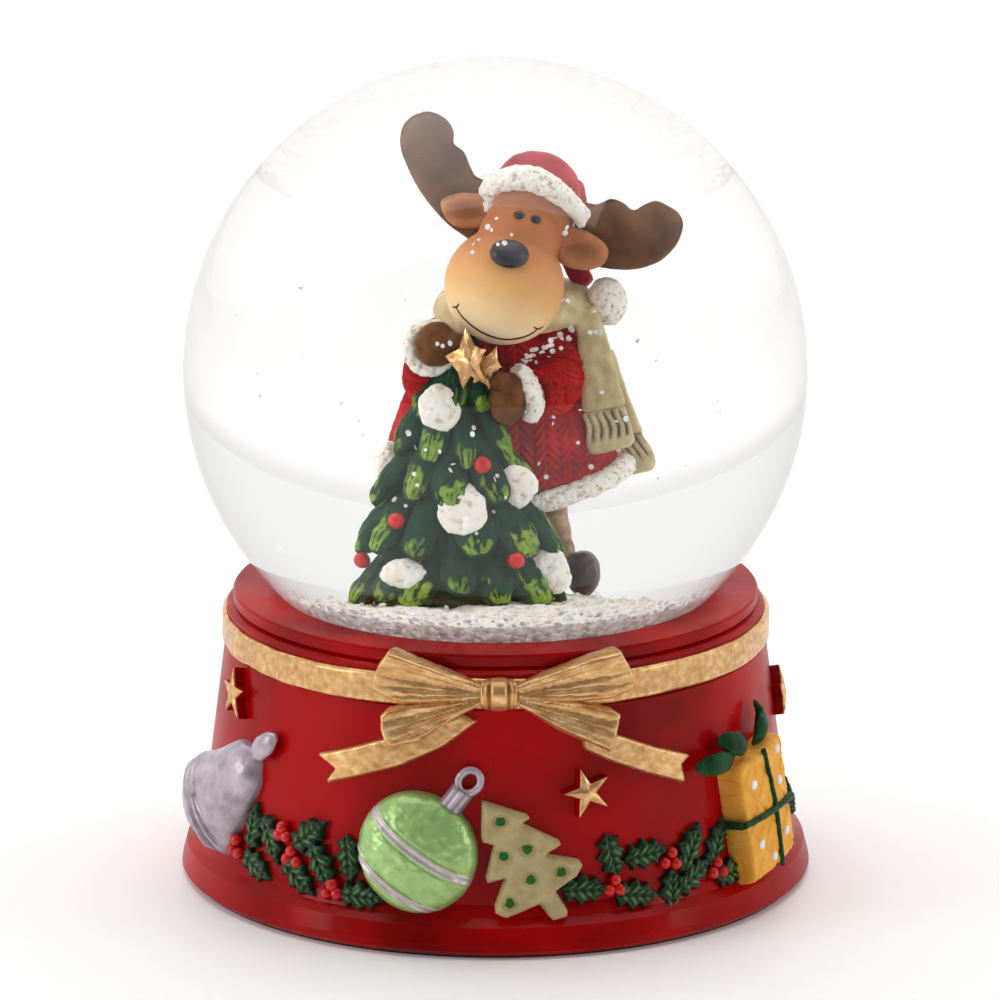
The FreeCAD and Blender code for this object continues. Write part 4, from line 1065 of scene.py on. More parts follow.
def add_mittens():
    left = [ball((-7.6, -11.3, 88.5), (2.8, 2.3, 3.0)), ball((-5.2, -12.3, 89.3), (1.3, 1.2, 1.1), 20)]
    right = [ball((1.6, -10.6, 81.3), (2.4, 2.2, 3.4), 8), ball((0.4, -12.2, 84.1), (1.3, 1.1, 1.2), -30)]
    form = rough(melt(left + right, 0.24, 4), 1.8, 0.16, 3.0)
    piece("mitten_pair", form, "mitten_brown", replaces=["mittens"])


def add_scarf():
    wrap_ring = cord_form(ring_at((2.2, 1.2, 90.0), (7.4, 6.6), -4, -3, 2.3, 12), 90, 22, True)
    knot = ball((10.4, -0.8, 89.8), (2.0, 2.2, 2.0), 20)
    front = strip([
        (10.9, -2.0, 90.6, 1.6, 1.0), (11.7, -2.8, 87.9, 1.8, 0.9), (12.7, -3.0, 81.7, 2.4, 0.8),
        (13.4, -2.7, 76.7, 2.85, 0.85), (13.9, -2.4, 73.9, 3.0, 0.9), (14.1, -2.3, 73.0, 2.5, 0.55),
    ], count=60, sides=28, square=0.6)
    back = strip([
        (12.6, 1.6, 84.0, 1.5, 0.7), (14.2, 2.6, 78.0, 1.7, 0.7), (15.8, 3.0, 73.5, 1.75, 0.8),
        (16.9, 3.2, 70.4, 1.7, 0.8), (17.2, 3.2, 69.5, 1.3, 0.5),
    ], count=50, sides=24, square=0.6)
    points, faces = melt([wrap_ring, knot, front, back], 0.2, 3)
    ridge = np.zeros(len(points))
    for low, high, slant, side in ((74.2, 78.3, 0.2, -1), (70.2, 73.6, 0.45, 1)):
        level = points[:, 2] - 0.16 * (points[:, 0] - 13.5)
        tassel = (level > low - 1) & (level < high + 0.6) & (points[:, 0] > 10)
        tassel &= (points[:, 1] * side) > (-0.9 if side < 0 else 1.2)
        bent = points[:, 0] + slant * points[:, 2] + 0.25 * np.sin(points[:, 2] * 1.3)
        line = np.cos(2 * math.pi * bent / 1.05)
        within = np.clip((high - level) / 0.4, 0, 1) * np.clip((level - low) / 0.8, 0, 1)
        deep = within * np.clip(-line + 0.1, 0, 1)
        deep = np.maximum(deep, 0.8 * np.exp(-((level - high) / 0.16) ** 2))
        ridge[tassel] = deep[tassel]
    folds = field(points * np.array([1.0, 1.0, 0.45]), 2.2, 17.0)
    lifted = raised((points, faces), folds * 0.16 - ridge * 0.42)
    # shade: painted shade in the fringe grooves and the hollows of the folds
    shade = np.clip(0.75 + folds * 0.3 - ridge * 0.8, 0, 1)
    piece("scarf_cloth", (lifted, faces, shade), "scarf_sage", replaces=["scarf"])


def add_legs():
    right = [(6.6, 2.2, 70.0, 1.7), (7.0, 2.0, 65.2, 1.4), (7.8, 1.2, 61.0, 1.3), (8.8, 0.8, 57.6, 1.3)]
    left = [(-4.0, 2.5, 70.0, 1.7), (-4.4, 2.3, 65.0, 1.4), (-5.0, 1.4, 61.0, 1.3), (-5.6, 0.8, 57.6, 1.3)]
    legs = [cord_form(line, 30, 20) for line in (right, left)]
    piece("leg_pair", rough(join(legs), 1.2, 0.2), "leg_tan", replaces=["moose_legs"])
    boots = [melt([ball((x, -0.8, 58.0), (2.1, 3.4, 2.8), 0, 40, 24)], 0.25, 2) for x in (10.3, -6.0)]
    piece("boot_pair", rough(join(boots), 1.6, 0.12), "boot_dark", replaces=["boots"])


TREE_LINE = (
    (88.6, -3.6, 0.3), (84.0, -4.8, 3.0), (79.5, -5.6, 4.6), (73.5, -5.6, 7.4), (68.0, -4.7, 10.4),
    (61.3, -4.8, 13.0), (55.0, -4.9, 13.8), (52.5, -4.9, 13.6),
)
TREE_Y = -8.4
TREE_FLAT = 0.66
FROND_LINE = (
    (0, 0.6, 0.8), (0.3, 0.85, 1.2), (0.6, 1.0, 1.5), (0.82, 0.92, 1.4), (0.95, 0.62, 0.95),
    (1, 0.25, 0.4),
)


def tree_at(z):
    """(centre x, half width) of the fir at a height."""
    heights, centres, halves = zip(*reversed(TREE_LINE))
    return float(np.interp(z, heights, centres)), float(np.interp(z, heights, halves))


def frond(angle, top_z, tip_z, wide, seed):
    """One drooping bough: narrow at the trunk, fat and blunt at its tip, with needle grooves along it."""
    centre_top, half_top = tree_at(top_z)
    centre_tip, half_tip = tree_at(tip_z)
    stations = []
    for share, girth, thick in FROND_LINE:
        z = top_z + (tip_z - top_z) * share
        centre = centre_top + (centre_tip - centre_top) * share
        out = half_top * 0.4 + (half_tip - half_top * 0.4) * share ** 0.95
        x, y = centre + out * math.sin(angle), TREE_Y - out * TREE_FLAT * math.cos(angle)
        stations.append((x, y, z, wide * girth, thick))
    tangent = (math.cos(angle), TREE_FLAT * math.sin(angle), 0)
    sides, rows = 44, 30
    points, faces = strip(stations, wide=tangent, count=rows, sides=sides)
    turn = 2 * math.pi * np.arange(sides) / sides
    across = np.tile(np.cos(turn), rows)
    along = np.repeat(np.linspace(0, 1, rows), sides)
    drift = field(points * np.array([1, 1, 0.3]), 1.3, 0.7 * seed)
    needle = np.cos(2 * math.pi * (across * (1.7 + 0.5 * (seed % 3)) + 0.37 * seed + 0.8 * drift))
    groove = np.clip(-needle - 0.35, 0, 1) * np.clip(3 * along, 0, 1) * np.clip((1.02 - along) * 6, 0, 1)
    points = raised((points, faces), -0.3 * groove)
    start = 0.3 + 0.25 * ((seed * 0.377) % 1.0) + 0.25 * drift
    lime = (1 - np.abs(across) ** 4) * np.clip(5 * (along - start), 0, 1) * np.clip(9 * (1.0 - along), 0, 1)
    return points, faces, lime * (0.4 + 0.6 * ((seed * 0.618) % 1.0)) * (1 - 1.2 * groove)


def add_tree():
    tiers = (
        (88.0, 79.5, 1.7, 6), (83.5, 73.3, 2.0, 8), (77.5, 67.6, 2.4, 9), (71.5, 61.0, 2.6, 11),
        (65.0, 54.3, 2.8, 13),
    )
    fronds = []
    for level, (top_z, tip_z, wide, count) in enumerate(tiers):
        for k in range(count):
            angle = 2 * math.pi * (k + 0.5 * (level % 2)) / count + rng.normal(0, 0.09)
            drop = rng.normal(0, 0.7)
            width = wide * rng.uniform(0.75, 1.2)
            fronds.append(frond(angle, top_z + drop, tip_z + drop, width, 7 * level + k))
    core = []
    for z in np.arange(52.6, 87.2, 1.4):
        centre, half = tree_at(z)
        core.append((centre, TREE_Y, z, half * 0.74, half * 0.74 * TREE_FLAT))
    points, faces = strip(core, count=70, sides=48)
    fronds.append((points, faces, np.zeros(len(points))))
    points, faces, shade = join_shaded(fronds)
    grain = field(points * np.array([1, 1, 0.35]), 0.8, 2.0)
    swell = field(points, 2.6, 8.0)
    points = raised((points, faces), grain * 0.14 + swell * 0.3)
    shade = np.clip(shade + grain * 0.3 * (shade > 0.1), 0, 1)
    piece("fir", (points, faces, shade), "tree_green", replaces=["tree"])
    return points, faces


def tree_front(skin, x, z):
    place, normal, _, _ = skin.ray_cast(Vector((x, -44, z)), Vector((0, 1, 0)))
    if place is None:
        place, normal = Vector((x, TREE_Y - 2, z)), Vector((0, -1, 0))
    return place, normal


def add_tree_snow(skin):
    """Flat lumps of snow with ragged edges, one to each place."""
    clumps = (
        (-7.17, 80.4, 2.9, 2.8), (-4.2, 67.4, 3.3, 3.2), (2.5, 70.2, 2.8, 2.7), (-11.7, 58.6, 3.6, 2.3),
        (6.8, 58.9, 2.8, 3.0),
    )
    forms = []
    for k, (x, z, wide, tall) in enumerate(clumps):
        place, normal = tree_front(skin, x, z)
        points, faces = ball((0, 0, 0), (wide, 1.25, tall), 0, 90, 60)
        swell = field(points, 3.6, 5.0 + k, 1)[:, None]
        points = points + normals_of((points, faces)) * swell * np.array([0.8, 0.3, 0.8])
        turn = facing((0.5 * normal + Vector((0, -0.5, 0.15))).normalized())
        forms.append((points @ turn.T + np.array(place + normal * 0.1), faces))
    points, faces = join(forms)
    grain = field(points, 1.3, 3.0)
    fine = field(points, 0.5, 4.0)
    points = raised((points, faces), grain * 0.22 + fine * 0.08)
    # shade follows the lumps: painted shade in their hollows
    shade = np.clip(0.72 + grain * 0.6, 0, 1)
    piece("fir_snow", (points, faces, shade), "snow_white", replaces=["tree_snow"])


def add_tree_baubles(skin):
    balls = []
    for x, z in ((-1.7, 73.1), (-12.8, 65.6), (2.9, 61.0), (-17.0, 60.1)):
        place, normal = tree_front(skin, x, z)
        balls.append(ball(place + Vector(normal) * 0.35, (1.12, 1.0, 1.12), 0, 24, 16))
    piece("fir_baubles", rough(join(balls), 1.0, 0.06), "bauble_red", replaces=["tree_baubles"])


def add_topper():
    """Crumpled, many-faced star, with the edge of a second one behind it."""
    front = [
        (-3.9, 91.3), (-2.7, 89.1), (-1.2, 88.3), (-2.2, 86.7), (-1.1, 83.7), (-3.2, 85.1),
        (-4.2, 83.2), (-4.9, 85.7), (-6.5, 87.5), (-4.7, 88.8),
    ]
    middle = (-3.4, 87.1)
    points = [(middle[0], -15.7, middle[1])]
    for k, (x, z) in enumerate(front):
        points.append((x, -13.5 - (0.9 if k % 2 else 0.0), z))
    points.append((middle[0], -11.9, middle[1]))
    back = len(points) - 1
    count = len(front)
    faces = []
    for k in range(count):
        a, b = 1 + k, 1 + (k + 1) % count
        faces.append((0, b, a))
        faces.append((back, a, b))
    star = (np.array(points), faces)
    centre = star[0].mean(0)
    second_points = (star[0] - centre) @ rotation((0, 1, 0), 30).T * 0.72 + centre
    second_points = second_points + np.array([2.4, 1.3, -1.2])
    points, faces = join([star, (second_points, faces)])
    mesh = as_mesh((points, faces))
    bm = bmesh.new()
    bm.from_mesh(mesh)
    bmesh.ops.subdivide_edges(bm, edges=bm.edges, cuts=3, use_grid_fill=True)
    bm.to_mesh(mesh)
    bm.free()
    points, faces = read_mesh(mesh)
    crumple = field(points, 1.1, 6.0)
    points = raised((points, faces), crumple * 0.18)
    shade = np.clip(0.8 + crumple, 0, 1)
    piece("topper", (points, faces, shade), "antique_gold", replaces=["star_topper"], smooth=False)


# ------------------------------------------------------------------ trim on the base

def gold_surface(flat, seed):
    return field(np.column_stack([flat, np.zeros(len(flat))]), 1.2, seed)


def add_ribbon_band():
    """Low gold band round the top of the base, a little uneven."""
    low, high = BAND_LOW_Z + 0.1, BAND_HIGH_Z - 0.05
    face_r = 44.1
    profile = [(43.0, high), (43.75, high)] + [(face_r, z) for z in np.linspace(high - 0.35, low + 0.35, 14)]
    profile += [(43.75, low), (43.0, low)]
    points, faces = lathe(list(reversed(profile)), 360)
    wave = field(points, 5.0, 2.0) * 0.16 + field(points, 1.2, 7.0) * 0.05
    radius = np.linalg.norm(points[:, :2], axis=1)
    outer = radius > 43.3
    points[outer, :2] *= (1 + wave[outer] / radius[outer])[:, None]
    points[:, 2] += field(points, 14.0, 4.0) * 0.3
    middle = (low + high) / 2
    edge = np.abs(points[:, 2] - middle) / ((high - low) / 2)
    shade = np.clip(0.42 + 0.4 * wave + 0.3 * (edge > 0.8), 0, 1) * outer
    piece("gold_band", (points, faces, shade), "antique_gold", replaces=["ribbon_band"])


KNOT = np.array([0.5, 41.2])


def loop_shape(rise, middle_angle, spread, pleats, seed):
    """Ribbon loop: a thick outer fold, a valley down its middle and pleats that fan from the knot."""
    def shape(flat, depth):
        off = flat - KNOT
        reach = np.linalg.norm(off, axis=1)
        share = reach / reach.max()
        angle = np.degrees(np.arctan2(off[:, 1], np.abs(off[:, 0]))) - middle_angle
        body = rise * (0.5 + 0.5 * share) * round_edge(depth, 0.9)
        middle = np.clip(share / 0.3, 0, 1) * np.clip((0.93 - share) / 0.25, 0, 1)
        valley = np.exp(-(angle / spread) ** 2) * middle
        wobble = gold_surface(flat, seed) * 0.9
        fan = np.abs(np.sin(math.pi * (angle + wobble) / pleats)) ** 0.6
        fade = np.clip(1.15 - share, 0.12, 1)
        height = body - 0.9 * valley + 0.5 * (fan - 0.6) * fade + gold_surface(flat, seed + 4) * 0.02
        shade = 0.1 + 0.8 * fan + 0.3 * share - 0.2 * valley
        return np.maximum(height, 0.1), np.clip(shade, 0, 1)
    return shape


def flat_ribbon(rise, seed):
    def shape(flat, depth):
        grain = gold_surface(flat, seed)
        return rise * round_edge(depth, 0.35) + grain * 0.05, np.clip(0.9 + 0.2 * grain, 0.4, 1)
    return shape


def knot_shape(flat, depth):
    """Bulging middle between two thin turns of ribbon."""
    across = (flat[:, 0] - KNOT[0]) / 2.8
    up = (flat[:, 1] - KNOT[1]) / 2.5
    bulge = 3.5 * np.sqrt(np.clip(1 - 0.75 * up ** 2, 0, 1))
    creases = np.exp(-((np.abs(across) - 0.52) / 0.1) ** 2)
    creases += 0.6 * np.exp(-((np.abs(across) - 0.8) / 0.07) ** 2)
    height = bulge * (1 - 0.28 * across ** 2) - 0.75 * creases
    return np.maximum(height, 0.4) * round_edge(depth + 0.15, 0.7), np.clip(0.95 - 0.8 * creases, 0, 1)


def add_bow():
    upper_left = [
        (-1.5, 42.8), (-8.1, 45.2), (-16.3, 47.8), (-17.8, 45.7), (-19.0, 42.9), (-19.0, 40.9),
        (-16.3, 39.6), (-13.9, 39.0), (-8.1, 39.6), (-1.9, 40.3),
    ]
    upper_right = [
        (3.2, 40.2), (11.2, 39.5), (18.0, 39.5), (20.7, 40.4), (22.0, 41.5), (20.7, 44.8), (19.2, 47.6),
        (14.8, 46.8), (7.7, 44.6), (2.4, 42.6),
    ]
    lower_left = [
        (-1.2, 41.0), (-7.0, 40.2), (-13.9, 39.2), (-16.8, 38.3), (-17.9, 37.1), (-17.8, 34.5),
        (-17.0, 32.6), (-16.0, 31.9), (-11.5, 33.1), (-6.5, 37.0), (-1.5, 39.7),
    ]
    lower_right = [
        (2.6, 39.6), (5.5, 38.0), (9.5, 35.3), (14.7, 32.6), (17.6, 30.9), (18.8, 33.5), (19.5, 37.1),
        (18.0, 38.2), (12.0, 39.9), (2.8, 41.0),
    ]
    left_tail = [
        (-8.0, 32.7), (-2.8, 36.8), (-5.0, 38.0), (-17.8, 33.2), (-23.7, 31.1), (-29.7, 29.2),
        (-26.2, 27.4), (-28.0, 24.8), (-22.1, 26.7), (-14.9, 29.2),
    ]
    right_tail = [
        (14.0, 31.8), (18.4, 29.5), (24.2, 27.0), (31.8, 24.1), (31.1, 27.2), (33.0, 28.4),
        (26.2, 30.8), (19.1, 33.8), (13.0, 35.0),
    ]
    forms = [
        relief(left_tail, flat_ribbon(1.3, 2.0), step=0.3),
        relief(right_tail, flat_ribbon(1.3, 5.0), step=0.3),
        relief(lower_left, loop_shape(2.9, -16, 9, 5.2, 3.0), step=0.22),
        relief(lower_right, loop_shape(2.9, -16, 9, 5.2, 8.0), step=0.22),
        relief(upper_left, loop_shape(3.4, 8, 8, 5.2, 13.0), step=0.22),
        relief(upper_right, loop_shape(3.4, 8, 8, 5.2, 18.0), step=0.22),
    ]
    knot = [
        (-2.3, 39.3), (-1.2, 38.7), (0.5, 38.5), (2.2, 38.7), (3.3, 39.3), (3.4, 41.2), (3.3, 43.1),
        (2.2, 43.6), (0.5, 43.8), (-1.2, 43.6), (-2.3, 43.1), (-2.4, 41.2),
    ]
    forms.append(relief(smooth_path(knot, 60, True), knot_shape, step=0.15))
    piece("gold_bow", join_shaded(forms), "bow_gold", replaces=["bow"])


STARS = (
    (17.8, 25.2, 17), (-66, 33.8, 0), (89, 29, -10), (-116, 33, 12), (140, 31, 5), (-142, 28.5, -6),
    (180, 30, 0),
)
STAR_RISE = 1.7


def star_outline(outer, inner):
    points = []
    for k in range(10):
        angle = math.radians(90 + 36 * k)
        radius = (inner if k % 2 else outer) * (1 + 0.05 * math.sin(2.3 * k))
        points.append((radius * math.cos(angle), radius * math.sin(angle)))
    return points


def star_shape(flat, depth):
    grain = gold_surface(flat, 11.0)
    height = STAR_RISE + 0.5 * np.clip(depth / 1.2, 0, 1) + 0.1 * grain
    return height, np.clip(0.75 + 0.6 * grain + 0.3 * (depth < 0.3), 0, 1)


def star_block(flat, depth):
    return np.full(len(flat), STAR_RISE - 0.1) - 0.15 * (depth < 0.1), np.ones(len(flat))


def add_stars():
    """Gold faces on red blocks that stand out of the side."""
    blocks, faces = [], []
    for theta, z, turn in STARS:
        place = (at_theta(theta, z), z, turn)
        blocks.append(relief(star_outline(4.05, 1.5), star_block, place, 0.3))
        faces.append(relief(star_outline(3.9, 1.38), star_shape, place, 0.2, 0.3 - STAR_RISE))
    piece("star_blocks", join_shaded(blocks), "base_red", smooth=False)
    piece("gold_stars", join_shaded(faces), "antique_gold", replaces=["base_stars"])


HOLLY_EDGE = ((-3.1, 0.9), (-2.7, 2.1), (-1.6, 1.25), (-0.4, 2.5), (0.7, 1.4), (1.7, 2.0), (2.4, 0.85))
LEAVES = (
    (-54, 14.7, 80), (-48, 13.7, -65), (-38, 16.2, 40), (-52, 8.6, -20), (-40, 9.0, -35),
    (-34.6, 11.7, -60), (-29, 13.4, -85), (-25.6, 8.0, 0), (16.8, 10, -5), (22.6, 14.5, -75),
    (29.8, 14.3, 5), (27, 8.2, -10), (35, 8.0, 90), (40.3, 9.4, 30), (39.8, 13.9, 60), (47.3, 13.3, 65),
    (50.5, 8.0, 0), (100, 9, 20), (112, 12, -30), (124, 8.5, 35), (150, 9, -20), (163, 12.5, 30),
    (176, 8.5, -35), (-100, 9, 25), (-112, 13, -30), (-124, 8.5, 20), (-150, 9.5, -25), (-163, 12, 40),
)
BERRIES = (
    (-59, 10.2), (-42, 12), (-32, 8.2), (-45, 15.4), (22.6, 10), (35, 12.6), (46.5, 9.2), (106, 10),
    (157, 10.5), (-106, 10.5), (-157, 10),
)


def holly_shape(lift):
    def shape(flat, depth):
        u, v = flat.T
        vein = np.exp(-(v / 0.28) ** 2)
        ribs = np.cos(2 * math.pi * (u - 0.9 * np.abs(v)) / 1.35)
        curl = 0.09 * u ** 2 * 0.3
        height = lift + 0.55 * round_edge(depth, 1.3) - 0.4 * vein + 0.1 * ribs + curl
        # shade: painted highlight on the raised ribs, painted shade in the sunken vein and along the edges
        shade = np.clip(depth / 1.0, 0, 1) * (0.45 + 0.4 * ribs) * (1 - 0.9 * vein)
        return height, np.clip(shade, 0, 1)
    return shape


def holly_outline():
    lower = [(u, -v) for u, v in HOLLY_EDGE]
    return [(-3.9, 0.0)] + lower + [(4.1, 0.0)] + list(reversed(HOLLY_EDGE))


def add_holly():
    leaves = []
    for k, (theta, z, turn) in enumerate(LEAVES):
        shape = holly_shape(0.55 + 0.3 * (k % 3))
        leaves.append(relief(holly_outline(), shape, (at_theta(theta, z), z, turn), 0.22))
    piece("holly_leaf_set", join_shaded(leaves), "holly_green", replaces=["holly_leaves"])
    berries = []
    for theta, z in BERRIES:
        for du, dv, out in ((-1.0, -0.5, 0.7), (1.0, -0.6, 0.8), (0.1, 1.0, 0.9)):
            s, level = at_theta(theta, z) + du + rng.normal(0, 0.15), z + dv + rng.normal(0, 0.15)
            centre = wrap(np.array([[s, level, out]]))[0]
            berries.append(ball(centre, np.full(3, rng.uniform(0.95, 1.12)), 0, 22, 14))
    piece("holly_berry_set", join(berries), "berry_red", replaces=["holly_berries"])


ORNAMENT_R = 9.6


def ornament_shape(flat, depth):
    """Half a ball, with two pairs of raised silver lines that bow with its roundness."""
    u, v = flat.T
    reach = np.clip(np.hypot(u, v) / ORNAMENT_R, 0, 1)
    height = 4.9 * np.sqrt(1 - reach ** 2) ** 0.85
    shade = np.zeros(len(flat))
    bow = np.sqrt(np.clip(1 - (u / ORNAMENT_R) ** 2, 0, 1))
    for edge_v, drop in ((2.1, 1.4), (-4.5, 2.1)):
        gap = v - (edge_v - drop * bow)
        height += 0.3 * np.exp(-((np.abs(gap) - 0.55) / 0.17) ** 2) - 0.12 * np.exp(-(gap / 0.3) ** 2)
        height -= 0.22 * np.exp(-((np.abs(gap) - 0.98) / 0.15) ** 2)
        shade = np.maximum(shade, np.clip((0.82 - np.abs(gap)) / 0.2, 0, 1))
    height += gold_surface(flat, 23.0) * 0.12
    return np.maximum(height, 0.05), shade


def circle_outline(radius, count=72):
    turns = np.linspace(0, 2 * math.pi, count, endpoint=False)
    return [(radius * math.cos(a), radius * math.sin(a)) for a in turns]


def cap_shape(flat, depth):
    ribs = 0.18 * np.cos(2 * math.pi * flat[:, 0] / 1.1)
    height = 2.8 * np.sqrt(np.clip(1 - (flat[:, 0] / 2.5) ** 2, 0, 1)) + ribs
    return height * round_edge(depth + 0.2, 0.6), np.clip(0.6 + 2 * ribs, 0, 1)


def on_place(place, u, v, height=0.0):
    """Frame point of a placed relief's own (u, v)."""
    s, z, degrees = place
    (s, z), = turned([(u, v)], s, z, degrees)
    return wrap(np.array([[s, z, height]]))[0]


def add_ornaments():
    places = [(at_theta(-15.1, 15.9), 15.9, -35.6), (at_theta(136, 16.5), 16.5, 25.0)]
    balls = [relief(circle_outline(ORNAMENT_R), ornament_shape, place, 0.25) for place in places]
    piece("green_ornaments", join_shaded(balls), "ornament_green", replaces=["ornament_ball"])
    cap = [(-1.9, 9.0), (1.9, 9.0), (1.8, 12.6), (-1.8, 12.6)]
    caps = []
    for place in places:
        caps.append(relief(cap, cap_shape, place, 0.2))
        loop = []
        for a in np.radians(np.arange(0, 360, 30)):
            loop.append((*on_place(place, 1.6 * math.cos(a), 14.3 + 1.9 * math.sin(a), 1.3), 0.6))
        points, faces = rough(cord_form(loop, 60, 14, True), 0.8, 0.08)
        caps.append((points, faces, np.full(len(points), 0.75)))
    piece("ornament_caps", join_shaded(caps), "lilac_silver", replaces=["ornament_cap"])


COOKIE = [
    (-2.2, 24.6), (4.9, 22.3), (5.3, 21.6), (4.2, 20.9), (9.8, 18.1), (10.2, 17.4), (9.4, 16.8),
    (7.9, 16.0), (13.0, 14.8), (13.6, 13.9), (12.6, 12.2), (9.4, 10.1), (11.2, 7.1), (11.1, 5.9),
    (8.7, 5.4), (6.8, 8.1), (1.6, 6.0), (-0.1, 6.8), (-0.2, 8.0), (1.3, 12.2), (-1.3, 11.5),
    (-1.6, 12.5), (-0.4, 17.5), (-2.0, 17.9), (-2.3, 18.6),
]
COOKIE_DOTS = ((0.7, 21.5), (4.7, 17.1), (1.2, 16.1), (5.2, 12.3), (9.8, 13.3), (2.1, 8.7))


def cookie_shape(flat, depth):
    height = 2.5 * round_edge(depth, 1.1) + gold_surface(flat, 31.0) * 0.07
    shade = np.zeros(len(flat))
    for dot in COOKIE_DOTS:
        gap = np.hypot(*(flat - np.array(dot)).T)
        ring = 0.22 * np.exp(-((gap - 0.95) / 0.2) ** 2)
        height += 0.5 * np.sqrt(np.clip(1 - (gap / 0.75) ** 2, 0, 1)) - ring
        shade = np.maximum(shade, (gap < 0.78).astype(float))
    return height, shade


def add_cookie():
    piece("cookie_fir", relief(COOKIE, cookie_shape, step=0.2), "cookie_khaki", replaces=["cookie_tree"])


GIFT_BOX = [(-6.8, -8.6), (6.8, -8.6), (6.8, 11.0), (-6.8, 11.0)]
GIFT_DOTS = ((-3.4, 6.9), (3.9, 4.2), (-3.6, -3.0), (4.1, -4.4), (-0.6, -6.4), (4.4, 9.2))
GIFT_RISE = 4.2
GIFT_LOBES = (
    (-5.0, 12.2, 8.5, 3.6, 168, 2.4), (-1.0, 11.8, 8.0, 3.8, 146, 2.0), (0.9, 11.6, 5.6, 3.4, 40, 2.0),
    (3.5, 12.6, 4.6, 1.5, 70, 1.2),
)


def gift_shape(flat, depth):
    """Wrapped box with slack edges and shallow diagonal grooves both ways."""
    u, v = flat.T
    grooves = np.zeros(len(flat))
    for way in (1, -1):
        line = (u * 0.8 + way * v * 0.6) / 4.6
        grooves = np.maximum(grooves, np.exp(-((line - np.round(line)) / 0.05) ** 2))
    height = GIFT_RISE * round_edge(depth, 0.7) - 0.22 * grooves + gold_surface(flat, 41.0) * 0.14
    # shade: painted shade in the grooves
    return height, np.clip(0.95 - 0.55 * grooves, 0, 1)


def lobe(place, u, v, length, width, turn, lift):
    """Puffed ribbon leaf beside a gift."""
    way = math.radians(turn)
    stations = []
    for share, girth in ((0.0, 0.25), (0.3, 0.85), (0.6, 1.0), (0.85, 0.75), (1.0, 0.25)):
        along = length * share
        high = lift + 0.9 * math.sin(math.pi * share)
        point = on_place(place, u + along * math.cos(way), v + along * math.sin(way), high)
        stations.append((*point, width / 2 * girth, 0.75 * girth))
    across = on_place(place, u - math.sin(way), v + math.cos(way), lift) - on_place(place, u, v, lift)
    return rough(strip(stations, across, 26, 18), 1.4, 0.18)


def add_gifts():
    places = [(at_theta(59.5, 15.2), 15.2, 11.0), (at_theta(-128, 15.5), 15.5, -6.0)]
    boxes = [relief(GIFT_BOX, gift_shape, place, 0.25) for place in places]
    piece("gift_wrap", join_shaded(boxes), "gift_orange", replaces=["gift_box"])
    dots, ribbons = [], []
    for place in places:
        for u, v in GIFT_DOTS:
            spot = (*turned([(u, v)], *place)[0], place[2])
            dots.append(relief(circle_outline(0.72, 20), dot_shape, spot, 0.3, -3.2))
        down = ((1.1, -8.8), (1.4, -4), (1.5, 0), (1.2, 4), (0.7, 8), (0.2, 11.2))
        upright = [(*on_place(place, u, v, GIFT_RISE + 0.1), 0.42) for u, v in down]
        level = [(*on_place(place, u, 0.9 - 0.12 * u, GIFT_RISE + 0.15), 0.55) for u in (-7.2, -4, 0, 4, 7.2)]
        left_end = [(*on_place(place, -7.3, 1.75, h), 0.65) for h in (GIFT_RISE, 2.0, 0.2)]
        ribbons += [rough(cord_form(line, 40, 12), 0.9, 0.1) for line in (upright, level, left_end)]
        ribbons += [lobe(place, *values) for values in GIFT_LOBES]
    piece("gift_dots", join_shaded(dots), "dot_white")
    piece("gift_cord", join(ribbons), "ribbon_green", replaces=["gift_ribbon"])


def dot_shape(flat, depth):
    return GIFT_RISE + 0.12 + 0.1 * round_edge(depth, 0.4), np.ones(len(flat))


BELL_LINE = (
    (-6.8, 8.9), (-5.4, 8.3), (-2.0, 7.0), (1.5, 5.9), (5.0, 5.0), (7.6, 4.1), (9.2, 2.4), (10.2, 1.2),
    (10.6, 0.5),
)


def bell_half(v):
    line = smooth_path(BELL_LINE, 80)
    return np.interp(v, line[:, 0], line[:, 1])


def bell_shape(flat, depth):
    """Half a bell lying on its side, with a double line round its mouth."""
    u, v = flat.T
    half = bell_half(v)
    height = 0.7 * half * np.sqrt(np.clip(1 - (u / (half + 0.05)) ** 2, 0, 1))
    mouth = v + 0.02 * u ** 2
    groove = np.exp(-((mouth + 5.4) / 0.2) ** 2) + 0.7 * np.exp(-((mouth + 4.2) / 0.16) ** 2)
    for line_v in (-6.1, -4.8):
        height += 0.5 * np.exp(-((mouth - line_v) / 0.3) ** 2)
    height += gold_surface(flat, 51.0) * 0.08 - 0.3 * groove
    # shade: painted shade in the groove round the mouth
    return np.maximum(height, 0.1), np.clip(0.8 + gold_surface(flat, 53.0) * 0.4 - 0.6 * groove, 0, 1)


def add_bell():
    place = (at_theta(-64, 19.3), 19.3, -50.0)
    right = [(bell_half(v), v) for v in np.linspace(-6.6, 10.5, 40)]
    mouth = [(-8.0 + 16.0 * k / 12, -6.9 - 0.9 * math.sin(math.pi * k / 12)) for k in range(13)]
    outline = right + [(-u, v) for u, v in reversed(right)] + mouth[1:-1]
    body = relief(outline, bell_shape, place, 0.25)
    knob = []
    for share, girth in ((0.0, 0.35), (0.2, 0.8), (0.5, 1.0), (0.8, 0.85), (1.0, 0.3)):
        high = 1.2 + 0.4 * math.sin(math.pi * share)
        knob.append((*on_place(place, 0.4 * share, 10.2 + 7.0 * share, high), 1.9 * girth, girth))
    across = on_place(place, 1, 12, 1) - on_place(place, 0, 12, 1)
    points, faces = rough(strip(knob, across, 26, 22), 1.6, 0.12)
    knob_form = (points, faces, np.full(len(points), 0.8))
    piece("silver_bell", join_shaded([body, knob_form]), "lilac_silver", replaces=["bell"])


# ------------------------------------------------------------------ build

